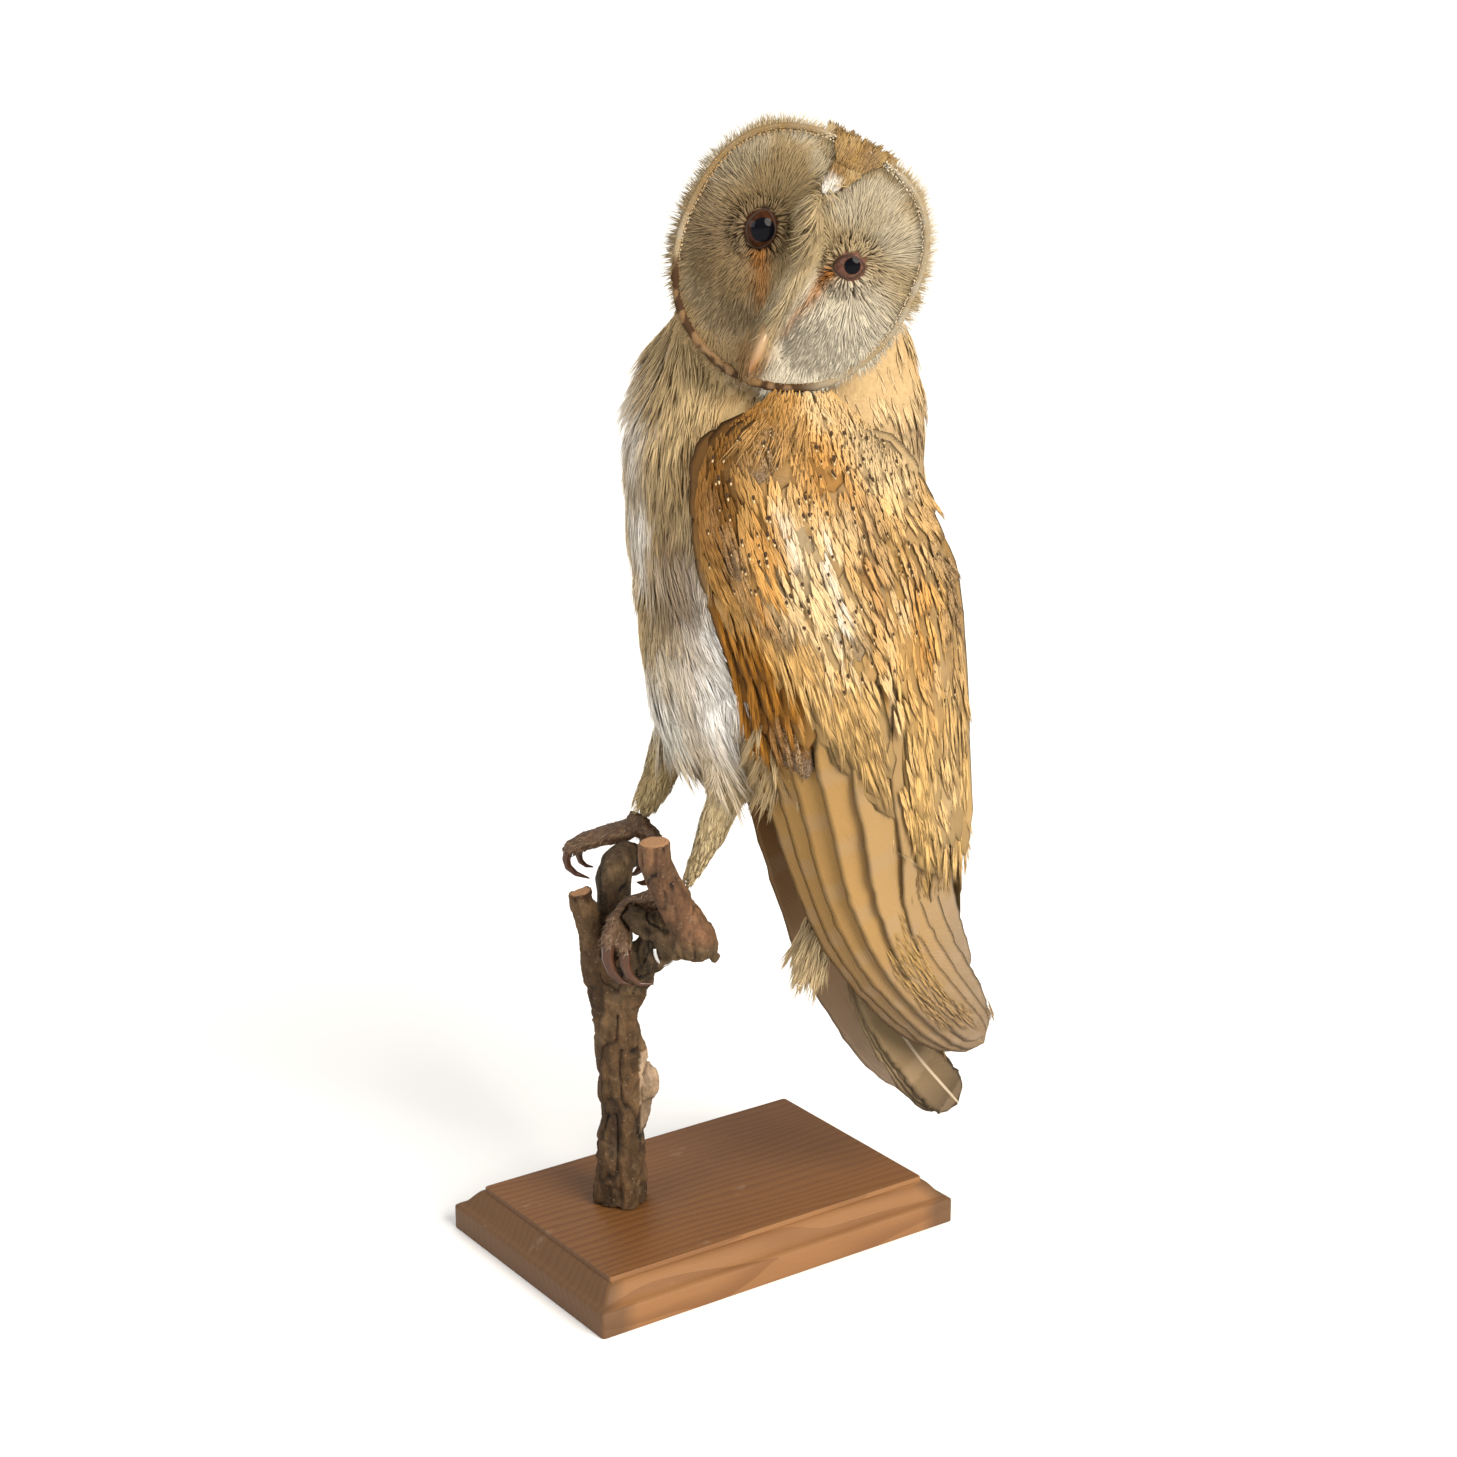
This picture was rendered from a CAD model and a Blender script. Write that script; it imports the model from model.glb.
"""A mounted barn owl, life size: the looks of the board, the branch, the bird's skin and its plumage.

The bird and the branch are laid out in millimetres in the bird's own frame, where X points to its back,
Y to its right side and Z up. world() turns that frame on the board and gives metres.
"""

import math

import bmesh
import bpy
import numpy as np
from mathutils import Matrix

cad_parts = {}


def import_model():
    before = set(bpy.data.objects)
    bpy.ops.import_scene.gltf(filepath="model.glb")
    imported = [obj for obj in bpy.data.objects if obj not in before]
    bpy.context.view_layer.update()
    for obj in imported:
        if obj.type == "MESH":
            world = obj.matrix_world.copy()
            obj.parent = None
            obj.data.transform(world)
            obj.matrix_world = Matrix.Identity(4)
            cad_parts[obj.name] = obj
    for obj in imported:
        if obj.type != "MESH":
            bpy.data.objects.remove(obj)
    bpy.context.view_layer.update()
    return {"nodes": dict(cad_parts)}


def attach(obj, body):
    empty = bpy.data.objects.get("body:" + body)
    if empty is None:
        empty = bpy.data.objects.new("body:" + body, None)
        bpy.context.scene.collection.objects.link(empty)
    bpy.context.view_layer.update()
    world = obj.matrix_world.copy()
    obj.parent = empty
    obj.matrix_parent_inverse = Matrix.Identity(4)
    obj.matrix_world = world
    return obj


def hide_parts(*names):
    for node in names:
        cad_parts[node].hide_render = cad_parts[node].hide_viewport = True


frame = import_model()

# ---- studio
# A pale floor in a pale room. A broad window lights the bird softly from the front and its left, and two
# large lamps lift its other side and its back. The camera stands before its left side, a little above it.


def linked(name, data):
    """A new object in the scene."""
    obj = bpy.data.objects.new(name, data)
    bpy.context.scene.collection.objects.link(obj)
    return obj


class Value:
    """A number or colour in a material. Arithmetic on it adds Math nodes."""

    def __init__(self, finish, socket):
        self.finish, self.socket = finish, socket

    def combined(self, operation, first, second):
        return self.finish.node("ShaderNodeMath", {"operation": operation}, {0: first, 1: second})

    def __add__(self, other):
        return self.combined("ADD", self, other)

    def __sub__(self, other):
        return self.combined("SUBTRACT", self, other)

    def __rsub__(self, other):
        return self.combined("SUBTRACT", other, self)

    def __mul__(self, other):
        return self.combined("MULTIPLY", self, other)

    __radd__ = __add__
    __rmul__ = __mul__


class Finish:
    """A Principled material. Constants are named after the shader's sockets."""

    def __init__(self, name, **constants):
        self.material = bpy.data.materials.new(name)
        self.material.use_nodes = True
        self.tree = self.material.node_tree
        self.shader = self.tree.nodes["Principled BSDF"]
        for socket, value in constants.items():
            self.shader.inputs[socket.replace("_", " ")].default_value = value

    def node(self, kind, settings=None, sockets=None, output=0):
        """Adds a node: its settings first, then its sockets' values or links. Returns one of its outputs."""
        made = self.tree.nodes.new(kind)
        for name, value in (settings or {}).items():
            setattr(made, name, value)
        for name, value in (sockets or {}).items():
            self.set(made.inputs[name], value)
        return Value(self, made.outputs[output])

    def set(self, socket, value):
        """Links a value to a socket, or writes a constant on it."""
        if isinstance(value, Value):
            self.tree.links.new(value.socket, socket)
        else:
            socket.default_value = value

    def give(self, **sockets):
        """Feeds the shader's own sockets."""
        for name, value in sockets.items():
            self.set(self.shader.inputs[name.replace("_", " ")], value)
        return self

    def place(self, stretch=(1.0, 1.0, 1.0), turn=(0.0, 0.0, 0.0), shift=(0.0, 0.0, 0.0)):
        """Object coordinates in metres, stretched and turned."""
        where = self.node("ShaderNodeTexCoord", output=3)
        sockets = {"Vector": where, "Scale": stretch, "Rotation": turn, "Location": shift}
        return self.node("ShaderNodeMapping", None, sockets)

    def noise(self, where, scale, detail=3.0, roughness=0.55):
        """Cloudy noise from 0 to 1, in that many cells a metre."""
        sockets = {"Vector": where, "Scale": scale, "Detail": detail, "Roughness": roughness}
        return self.node("ShaderNodeTexNoise", None, sockets)

    def step(self, value, low, high):
        """Eases from 0 to 1 while the input goes from low to high."""
        sockets = {"Value": value, "From Min": low, "From Max": high}
        return self.node("ShaderNodeMapRange", {"interpolation_type": "SMOOTHSTEP"}, sockets)

    def mix(self, share, first, second, blend="MIX"):
        """Two colours mixed: the first where the share is 0 and the second where it is 1."""
        first, second = ((*ink, 1.0) if isinstance(ink, tuple) else ink for ink in (first, second))
        settings = {"data_type": "RGBA", "blend_type": blend}
        return self.node("ShaderNodeMix", settings, {0: share, 6: first, 7: second}, output=2)

    def painted(self, name, output=0):
        """A colour, or with output 2 a number, stored on the mesh."""
        return self.node("ShaderNodeAttribute", {"attribute_name": name}, output=output)

    def bump(self, height, depth):
        """Relief of that depth in metres."""
        self.give(Normal=self.node("ShaderNodeBump", None, {"Height": height, "Distance": depth}))
        return self


FLOOR_SIZE = 400.0
corner_signs = ((-1, -1), (1, -1), (1, 1), (-1, 1))
floor_corners = [(x * FLOOR_SIZE / 2, y * FLOOR_SIZE / 2, 0.0) for x, y in corner_signs]
floor_mesh = bpy.data.meshes.new("floor")
floor_mesh.from_pydata(floor_corners, [], [(0, 1, 2, 3)])
floor = linked("floor", floor_mesh)
floor_finish = Finish("pale_floor", Base_Color=(0.9, 0.9, 0.9, 1.0), Roughness=0.9)
floor_mesh.materials.append(floor_finish.material)

room = bpy.data.worlds.new("pale_room")
room.use_nodes = True
room.node_tree.nodes["Background"].inputs["Color"].default_value = (1.0, 0.97, 0.93, 1.0)
room.node_tree.nodes["Background"].inputs["Strength"].default_value = 0.5
bpy.context.scene.world = room
bpy.context.scene.view_settings.view_transform = "Standard"


def lamp(name, place, aim, power, size, colour=(1.0, 1.0, 1.0)):
    """A square soft light at a place, aimed at a point, in metres and watts."""
    light = bpy.data.lights.new(name, "AREA")
    light.energy, light.size, light.color = power, size, colour
    obj = linked(name, light)
    away = np.array(place, float) - np.array(aim, float)
    flat = math.hypot(away[0], away[1])
    obj.location = place
    obj.rotation_euler = (math.atan2(flat, away[2]), 0.0, math.atan2(away[1], away[0]) + math.pi / 2)


LIT_POINT = (0.02, -0.02, 0.25)
lamp("left_lamp", (-1.6, -0.1, 1.0), LIT_POINT, 14.0, 1.0, (0.97, 0.98, 1.0))
lamp("back_lamp", (0.6, 1.6, 1.4), LIT_POINT, 6.0, 1.0)
window = bpy.data.lights.new("window", "SUN")
window.energy, window.angle, window.color = 5.1, math.radians(40.0), (1.0, 0.94, 0.84)
window_light = linked("window", window)
window_light.rotation_euler = (math.radians(60.0), 0.0, math.radians(10.0))

CAMERA_PLACE = (-0.543, -0.790, 0.486)
CAMERA_HEADING = -35.1  # degrees, turned from looking along +Y
CAMERA_DIP = 16.1  # degrees below the horizon
camera_data = bpy.data.cameras.new("camera")
camera_data.lens, camera_data.sensor_width = 64.24, 36.0
camera = linked("camera", camera_data)
camera.location = CAMERA_PLACE
camera.rotation_euler = (math.radians(90 - CAMERA_DIP), 0.0, math.radians(CAMERA_HEADING))
bpy.context.scene.camera = camera

# ---- board
# The base: one plank of stained and waxed pine, 19 mm thick, with an ogee moulding routed round its edge
# and a sharp lip round the top. The grain runs along its long side and the short sides show end grain.

MM = 0.001
BOARD_LENGTH, BOARD_WIDTH, BOARD_HEIGHT = 168.0, 112.0, 19.0
BAND_HEIGHT = 9.8  # the plain band under the moulding
MOULDING_INSET = 9.0
OGEE_START = 1.4  # inset of the moulding's foot
LIP_HEIGHT = 1.8
EDGE_ROUND = 0.5
CORNER_RADIUS = 1.3
CORNER_STEPS, SIDE_STEPS = 5, 24


def solid(name, points, faces, finish, nodes, maps=None, paint=None):
    """A mesh piece from whole arrays: points in metres, faces as arrays of three or four columns.

    maps holds UV coordinates and paint holds colours or numbers, one row for each point.
    """
    mesh = bpy.data.meshes.new(name)
    points = np.asarray(points, np.float32).ravel()
    mesh.vertices.add(len(points) // 3)
    mesh.vertices.foreach_set("co", points)
    corners = np.concatenate([part.ravel() for part in faces]).astype(np.int32)
    sizes = np.concatenate([np.full(len(part), part.shape[1]) for part in faces])
    starts = np.concatenate([[0], np.cumsum(sizes)[:-1]]).astype(np.int32)
    mesh.loops.add(len(corners))
    mesh.loops.foreach_set("vertex_index", corners)
    mesh.polygons.add(len(sizes))
    mesh.polygons.foreach_set("loop_start", starts)
    mesh.update(calc_edges=True)
    mesh.validate()
    for label, uv in (maps or {}).items():
        layer = mesh.uv_layers.new(name=label)
        layer.data.foreach_set("uv", np.asarray(uv, np.float32)[corners].ravel())
    for label, values in (paint or {}).items():
        values = np.asarray(values, np.float32)
        if values.ndim == 1:
            mesh.attributes.new(label, "FLOAT", "POINT").data.foreach_set("value", values)
        else:
            colour = np.column_stack([values, np.ones(len(values), np.float32)])
            mesh.attributes.new(label, "FLOAT_COLOR", "POINT").data.foreach_set("color", colour.ravel())
    mesh.polygons.foreach_set("use_smooth", np.full(len(sizes), True))
    mesh.materials.append(finish.material)
    obj = linked(name, mesh)
    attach(obj, "root")
    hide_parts(*nodes)
    return obj


def circle(steps):
    """Angles evenly spaced round a full turn."""
    return np.linspace(0, 2 * math.pi, steps, endpoint=False)


def ring_faces(rows, around):
    """Quads of a skin of closed rings, and a flat cap on each end."""
    i, j = np.meshgrid(np.arange(rows - 1), np.arange(around), indexing="ij")
    k = (j + 1) % around
    quads = np.stack([i * around + j, i * around + k, (i + 1) * around + k, (i + 1) * around + j], -1)
    first = np.arange(around)[::-1][None]
    last = (rows - 1) * around + np.arange(around)[None]
    return [quads.reshape(-1, 4), first, last]


def loop_faces(rows, around):
    """Quads of a closed loop of closed rings."""
    i, j = np.meshgrid(np.arange(rows), np.arange(around), indexing="ij")
    here, ahead, above = i * around, (i + 1) % rows * around, (j + 1) % around
    return [np.stack([here + j, ahead + j, ahead + above, here + above], -1).reshape(-1, 4)]


def drift(points, size, seed=0):
    """Smooth random numbers from 0 to 1: fixed at the corners of a lattice of that size, eased between."""
    cell = np.asarray(points, float) / size
    low = np.floor(cell).astype(np.int64)
    part = cell - low
    part = part * part * (3 - 2 * part)
    total = 0.0
    for corner in range(8):
        bit = np.array([corner & 1, corner >> 1 & 1, corner >> 2 & 1])
        key = low + bit
        code = key[..., 0] * 73856093 ^ key[..., 1] * 19349663 ^ key[..., 2] * 83492791 ^ (seed + 1) * 40503
        code = (code ^ code >> 13) * 1274126177
        random = ((code ^ code >> 16) & 65535) / 65535
        total = total + random * np.prod(np.where(bit, part, 1 - part), axis=-1)
    return total


def board_outline(half_length, half_width, radius):
    """A rectangle with small round corners, anticlockwise, with extra points along its sides."""
    outline = []
    for corner, (sx, sy) in enumerate(((1, 1), (-1, 1), (-1, -1), (1, -1))):
        turn = (corner + np.linspace(0, 1, CORNER_STEPS)) * math.pi / 2
        centre = np.array([sx * (half_length - radius), sy * (half_width - radius)])
        outline.append(centre + radius * np.column_stack([np.cos(turn), np.sin(turn)]))
        ahead = ((-1, 1), (-1, -1), (1, -1), (1, 1))[corner]
        goal = np.array([ahead[0] * (half_length - radius), ahead[1] * (half_width - radius)])
        turn = (corner + 1) * math.pi / 2
        goal = goal + radius * np.array([math.cos(turn), math.sin(turn)])
        share = np.linspace(0, 1, SIDE_STEPS)[1:-1, None]
        outline.append(outline[-1][-1] * (1 - share) + goal * share)
    return np.vstack(outline)


def board_rings():
    """Outlines up the edge: a band with an eased arris, an ogee that swells and then hollows, and a lip."""
    low, high = BAND_HEIGHT + 0.9, BOARD_HEIGHT - LIP_HEIGHT
    share = np.linspace(0, 1, 14)
    ogee_inset = OGEE_START + (MOULDING_INSET - OGEE_START) * share
    ogee = np.column_stack([ogee_inset, low + (high - low) * share**2 * (3 - 2 * share)])
    band = [(0.7, 0.0), (EDGE_ROUND * 0.3, 0.15), (0.0, EDGE_ROUND), (0.0, BAND_HEIGHT - 0.4)]
    band_top = [(0.15, BAND_HEIGHT), (0.6, BAND_HEIGHT + 0.35)]
    lip = [(MOULDING_INSET + 0.05, high + 0.1), (MOULDING_INSET + 0.08, BOARD_HEIGHT - 0.5)]
    lip_top = [(MOULDING_INSET + 0.25, BOARD_HEIGHT - 0.12), (MOULDING_INSET + 0.7, BOARD_HEIGHT)]
    rings = []
    for inset, height in np.vstack([band, band_top, ogee, lip, lip_top]):
        outline = board_outline(BOARD_LENGTH / 2 - inset, BOARD_WIDTH / 2 - inset, CORNER_RADIUS)
        rings.append(np.column_stack([outline, np.full(len(outline), height)]))
    return np.array(rings)


board_points = board_rings()
pine = Finish("stained_pine", Specular_IOR_Level=0.2, Coat_Roughness=0.4)
wavering = pine.noise(pine.place(stretch=(6.0, 22.0, 22.0)), 1.0, 2.0)
across_rings = pine.place(stretch=(9.0, 230.0, 160.0), turn=(0.5, 0, 0))
waver_aside = pine.node("ShaderNodeCombineXYZ", None, {1: wavering * 5.0})
rings_place = pine.node("ShaderNodeVectorMath", {"operation": "ADD"}, {0: across_rings, 1: waver_aside})
ring_sockets = {"Vector": rings_place, "Scale": 0.36, "Distortion": 2.2, "Detail": 2.0, "Detail Scale": 0.6}
saw_bands = {"bands_direction": "Y", "wave_profile": "SAW"}
growth = pine.node("ShaderNodeTexWave", saw_bands, ring_sockets, output=1)
fibre = pine.noise(pine.place(stretch=(60.0, 2200.0, 2200.0)), 1.0, 3.0, 0.7)
blotch = pine.noise(pine.place(stretch=(18.0, 26.0, 26.0)), 1.0, 3.0)
scuff_noise = pine.noise(pine.place(stretch=(45.0, 70.0, 70.0), shift=(3.1, 1.7, 0.0)), 1.0, 4.0, 0.65)
scuff = pine.step(scuff_noise, 0.64, 0.76)
wood = pine.mix(pine.step(growth, 0.25, 0.95) * 0.6, (0.235, 0.112, 0.042), (0.135, 0.055, 0.019))
wood = pine.mix(pine.step(blotch, 0.35, 0.75) * 0.4, wood, (0.255, 0.12, 0.045))
wood = pine.mix(fibre * 0.35, wood, (0.11, 0.048, 0.02))
wood = pine.mix(pine.painted("end", 2) * 0.75, wood, (0.085, 0.045, 0.022))
wood = pine.mix(pine.painted("top", 2), wood, (0.70, 0.62, 0.48), "MULTIPLY")
wood = pine.mix(scuff * 0.25, wood, (0.40, 0.30, 0.22))
pine.give(Base_Color=wood, Roughness=0.5 + fibre * 0.2 + scuff * 0.15, Coat_Weight=0.06 - scuff * 0.05)
pine.bump(growth * 0.3 + fibre * 0.5, 0.00018)
end_grain = (np.abs(board_points[..., 0].ravel()) > BOARD_LENGTH / 2 - MOULDING_INSET - 0.4) * 1.0
top_face = (board_points[..., 2].ravel() > BOARD_HEIGHT - 0.05) * 1.0
board = solid("pine_board", board_points * MM, ring_faces(*board_points.shape[:2]), pine,
              ["board"], paint={"end": end_grain, "top": top_face})
sharp = board.modifiers.new("crisp arrises", "EDGE_SPLIT")
sharp.split_angle = math.radians(38)

# ---- branch
# A dead apple branch, sawn off at four ends. The stem stands on the board and forks into a smooth grey
# limb, a low mossy limb with a knob and a stub of purplish bark. A flap of bark peels off the stem.

BIRD_TURN = math.radians(-35.1)


def world(points):
    """From the bird's frame in millimetres to the row frame in metres."""
    x, y, z = np.moveaxis(np.asarray(points, float), -1, 0)
    c, s = math.cos(BIRD_TURN), math.sin(BIRD_TURN)
    return np.stack([c * x - s * y, s * x + c * y, z], -1) * MM


def local(points):
    """From the row frame in metres to the bird's frame in millimetres."""
    x, y, z = np.moveaxis(np.asarray(points, float), -1, 0) / MM
    c, s = math.cos(BIRD_TURN), math.sin(BIRD_TURN)
    return np.stack([c * x + s * y, -s * x + c * y, z], -1)


def merged_copy(*nodes):
    """The solids of those nodes in one new mesh, with their doubled corners merged."""
    work = bmesh.new()
    for node in nodes:
        work.from_mesh(frame["nodes"][node].data)
    bmesh.ops.remove_doubles(work, verts=work.verts, dist=1e-6)
    mesh = bpy.data.meshes.new("working_copy")
    work.to_mesh(mesh)
    work.free()
    return mesh


def remeshed(mesh, voxel, smoothing):
    """(points, normals, quads) of one even skin round a mesh, in the bird's frame: voxels, then smoothing."""
    obj = linked("working", mesh)
    grid = obj.modifiers.new("grid", "REMESH")
    grid.mode, grid.voxel_size = "VOXEL", voxel * MM
    smooth = obj.modifiers.new("smooth", "SMOOTH")
    smooth.iterations, smooth.factor = smoothing, 0.5
    made = obj.evaluated_get(bpy.context.evaluated_depsgraph_get()).to_mesh()
    points = np.empty(len(made.vertices) * 3)
    made.vertices.foreach_get("co", points)
    normals = np.empty(len(made.vertices) * 3, np.float32)
    made.vertex_normals.foreach_get("vector", normals)
    quads = np.empty(len(made.polygons) * 4, np.int32)
    made.polygons.foreach_get("vertices", quads)
    bpy.data.objects.remove(obj, do_unlink=True)
    normals = normals.reshape(-1, 3).astype(float)
    return local(points.reshape(-1, 3)), local(normals) * MM, quads.reshape(-1, 4)


def share_of(value, start, size):
    """How far a value has come from its start, from 0 to 1 over that size."""
    return np.clip((value - start) / size, 0, 1)


BARK_VOXEL = 0.75
bark_points, bark_normals, bark_quads = remeshed(merged_copy("branch"), BARK_VOXEL, 5)
CUT_FACES = [  # sawn ends: a point on each, the way it faces and its radius, mm
    ((-17.4, -46.2, 179.2), (-0.1, -0.05, 1.0), 7.4),
    ((-46.8, -18.0, 149.5), (-0.23, -0.05, 0.97), 5.6),
]
sawn = np.zeros(len(bark_points))
for place, facing, radius in CUT_FACES:
    facing = np.array(facing) / np.linalg.norm(facing)
    offset = bark_points - np.array(place)
    near = np.linalg.norm(offset, axis=1) < radius
    sawn = np.maximum(sawn, near * share_of(bark_normals @ facing, 0.75, 0.15))
upward = bark_points * np.array([1.0, 1.0, 0.5])
plates = np.abs(drift(upward, 3.8, 1) - 0.5) * 2.4
ridges = 0.9 * plates + 0.7 * drift(upward, 1.5, 2) + 0.5 * drift(bark_points, 0.9, 3)
bark_y, bark_z = bark_points[:, 1], bark_points[:, 2]
smooth_limb = share_of(bark_y, -15.5, 4) * share_of(bark_z, 108, 12)
stub = share_of(-bark_y, 39.0, 2.5) * share_of(bark_z, 136, 5)
lumps = drift(bark_points, 9.0, 4) - 0.5
flakes = np.clip((drift(bark_points * np.array([1.0, 1.0, 0.6]), 7.0, 8) - 0.5) * 9.0, -0.5, 0.5)
crack_line = drift(bark_points * np.array([1.0, 1.0, 0.45]), 6.0, 9) - 0.5
crack = np.exp(-(crack_line / 0.035) ** 2) * (lumps > -0.1)
relief = (ridges - 1.0 + 1.4 * flakes - 1.3 * crack) * (1 - 0.72 * smooth_limb) * (1 - 0.7 * stub)
relief = (relief + lumps * (1.6 - 1.1 * stub)) * (1 - sawn)
bark_points = bark_points + bark_normals * relief[:, None]
KNOT_HOLE, KNOT_SIZE = np.array([-21.0, -39.0, 141.0]), 2.2
hollow = np.exp(-((np.linalg.norm(bark_points - KNOT_HOLE, axis=1) / KNOT_SIZE) ** 2))
bark_points = bark_points - bark_normals * (2.0 * hollow)[:, None]

BARK = np.array([0.082, 0.043, 0.017])
BARK_GREY = np.array([0.072, 0.046, 0.025])
BARK_STUB = np.array([0.16, 0.078, 0.038])
BARK_MOSS = np.array([0.11, 0.072, 0.035])
BARK_FLAP = np.array([0.42, 0.30, 0.20])
BARK_LICHEN = np.array([0.17, 0.105, 0.048])


def blend(first, second, share):
    """first where share is 0 and second where it is 1."""
    return first * (1 - share[..., None]) + second * share[..., None]


bark_x, bark_z = bark_points[:, 0], bark_points[:, 2]
low_limb = share_of(bark_x, -31, 5) * share_of(bark_z, 108, 8)
bark_tint = blend(np.tile(BARK, (len(bark_points), 1)), BARK_GREY, smooth_limb)
bark_tint = blend(bark_tint, BARK_MOSS, low_limb * (1 - smooth_limb) * 0.75)
bark_tint = blend(bark_tint, BARK_STUB, stub)
flap = (bark_x > -24.5) & (bark_z < 84)
bark_tint = blend(bark_tint, BARK_FLAP, flap * share_of(bark_z, 46, 8) * 0.8)
bark_tint = blend(bark_tint, BARK * 0.22, np.clip(hollow * 1.4, 0, 1))
bark_tint = blend(bark_tint, BARK_LICHEN, 0.5 * np.clip(drift(bark_points, 11.0, 6) * 2.4 - 1.2, 0, 1))
bark_tint = bark_tint * (0.45 + 0.95 * np.clip(ridges / 1.5, 0, 1))[:, None]
bark_tint = bark_tint * (1 + 0.5 * flakes - 0.75 * crack)[:, None]
bark = Finish("dry_bark", Roughness=0.85, Specular_IOR_Level=0.25)
bark_fine = bark.noise(bark.place(stretch=(1.0, 1.0, 0.45)), 900.0, 5.0, 0.65)
bark_patch = bark.noise(bark.place(), 190.0, 4.0, 0.6)
spot_sockets = {"Vector": bark.place(stretch=(1.0, 1.0, 1.6)), "Scale": 330.0}
bark_spots = bark.node("ShaderNodeTexVoronoi", None, spot_sockets)
lenticel = bark.step(bark_spots, 0.16, 0.09)
end_sockets = {"Vector": bark.place(shift=(0.0408, 0.0278, 0.0)), "Scale": 190.0, "Distortion": 3.0}
upright_rings = {"wave_type": "RINGS", "rings_direction": "Z"}
end_rings = bark.node("ShaderNodeTexWave", upright_rings, end_sockets, output=1)
bark_colour = bark.mix(bark_fine * 0.85, bark.painted("tint"), (0.04, 0.028, 0.018), "MULTIPLY")
bark_colour = bark.mix(bark.step(bark_patch, 0.52, 0.72) * 0.35, bark_colour, (0.17, 0.11, 0.06))
bark_colour = bark.mix(lenticel * 0.35, bark_colour, (0.28, 0.19, 0.12))
cut_wood = bark.mix(end_rings * 0.5 + bark_fine * 0.25, (0.38, 0.21, 0.105), (0.26, 0.13, 0.06))
bark_colour = bark.mix(bark.painted("sawn", 2), bark_colour, cut_wood)
bark.give(Base_Color=bark_colour, Roughness=0.7 + bark_fine * 0.25)
bark.bump(bark_fine * 0.7 + bark_patch * 0.5, 0.0009)
solid("branch_bark", world(bark_points), [bark_quads], bark, ["branch"],
      paint={"tint": bark_tint, "sawn": sawn})

# ---- tie wire
# A short loop of bright steel wire, 1.6 mm thick, that ties the left foot down to the low limb.

WIRE_RADIUS = 0.8
WIRE_MIDDLE = np.array([-13.5, -35.5, 134.5])
LOOP_HALF_WIDTH, LOOP_DROP = 6.0, 8.0
LOOP_STEPS, WIRE_SIDES = 40, 12
wire_finish = Finish("bright_wire", Base_Color=(0.62, 0.62, 0.6, 1.0), Metallic=1.0)
wire_finish.give(Roughness=0.22 + 0.2 * wire_finish.noise(wire_finish.place(), 1500.0))
wire_turn = np.linspace(0.0, math.pi, LOOP_STEPS)[:, None]
wire_across = LOOP_HALF_WIDTH * np.cos(wire_turn) * math.sqrt(0.5)
wire_path = WIRE_MIDDLE + np.hstack([wire_across, wire_across, -LOOP_DROP * np.sin(wire_turn)])
wire_out = np.hstack([np.cos(wire_turn) / math.sqrt(2), np.cos(wire_turn) / math.sqrt(2), -np.sin(wire_turn)])
wire_side = np.array([1.0, -1.0, 0.0]) / math.sqrt(2)
wire_round = circle(WIRE_SIDES)[None, :, None]
wire_points = np.cos(wire_round) * wire_out[:, None] + np.sin(wire_round) * wire_side
wire_points = wire_path[:, None] + WIRE_RADIUS * wire_points
solid("steel_tie", world(wire_points), ring_faces(LOOP_STEPS, WIRE_SIDES), wire_finish,
      ["tie_wire"])

# ---- wings, bare
# The folded wings as the taxidermist set them: thin stuffed shells of skin that lie on the bird's sides,
# each with its outer face curved from the leading edge in front to the dorsal edge behind.

MID_PLANE = -4.0  # the bird's plane of symmetry along its frame's Y
# Leading edge (x, z, out), dorsal edge (x, z, out), how far the middle stands out, thickness, mm
WING_STATIONS = np.array([
    (27.0, 348.0, 43.0, 46.0, 347.0, 42.0, 44.5, 2.5),
    (3.0, 328.0, 48.5, 73.0, 322.0, 38.0, 57.0, 7.0),
    (-1.0, 308.0, 50.0, 86.0, 297.0, 29.0, 61.0, 8.5),
    (1.0, 286.0, 50.5, 94.5, 266.0, 19.0, 62.0, 8.5),
    (8.0, 262.0, 49.0, 98.5, 231.0, 13.0, 60.5, 8.5),
    (15.5, 235.0, 46.0, 100.5, 196.0, 9.0, 56.0, 8.0),
    (24.0, 207.0, 41.0, 101.5, 166.0, 6.0, 50.0, 6.5),
    (34.5, 172.0, 36.0, 98.0, 147.0, 6.0, 42.0, 5.0),
    (48.0, 138.0, 30.0, 102.0, 127.0, 6.0, 33.0, 4.0),
    (65.0, 112.5, 24.0, 109.0, 110.0, 7.0, 25.5, 3.2),
    (83.0, 93.5, 18.0, 115.0, 97.0, 7.5, 18.5, 2.4),
    (102.0, 83.0, 13.0, 117.0, 88.0, 9.0, 13.5, 1.6),
])
WING_CORE_END = 0.56  # the stuffed part reaches this far along the stations
CORE_ROWS, CORE_COLUMNS = 40, 24
WING_INSET = 2.2  # depth of the coverts on the stuffed part
SIDES = {"left": -1, "right": 1}


def ramp(value, low, high):
    """0 below low, 1 above high, eased between."""
    share = np.clip((value - low) / (high - low), 0, 1)
    return share * share * (3 - 2 * share)


def unit(vectors):
    """The vectors' directions, at length 1."""
    return vectors / np.linalg.norm(vectors, axis=-1, keepdims=True)


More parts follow.
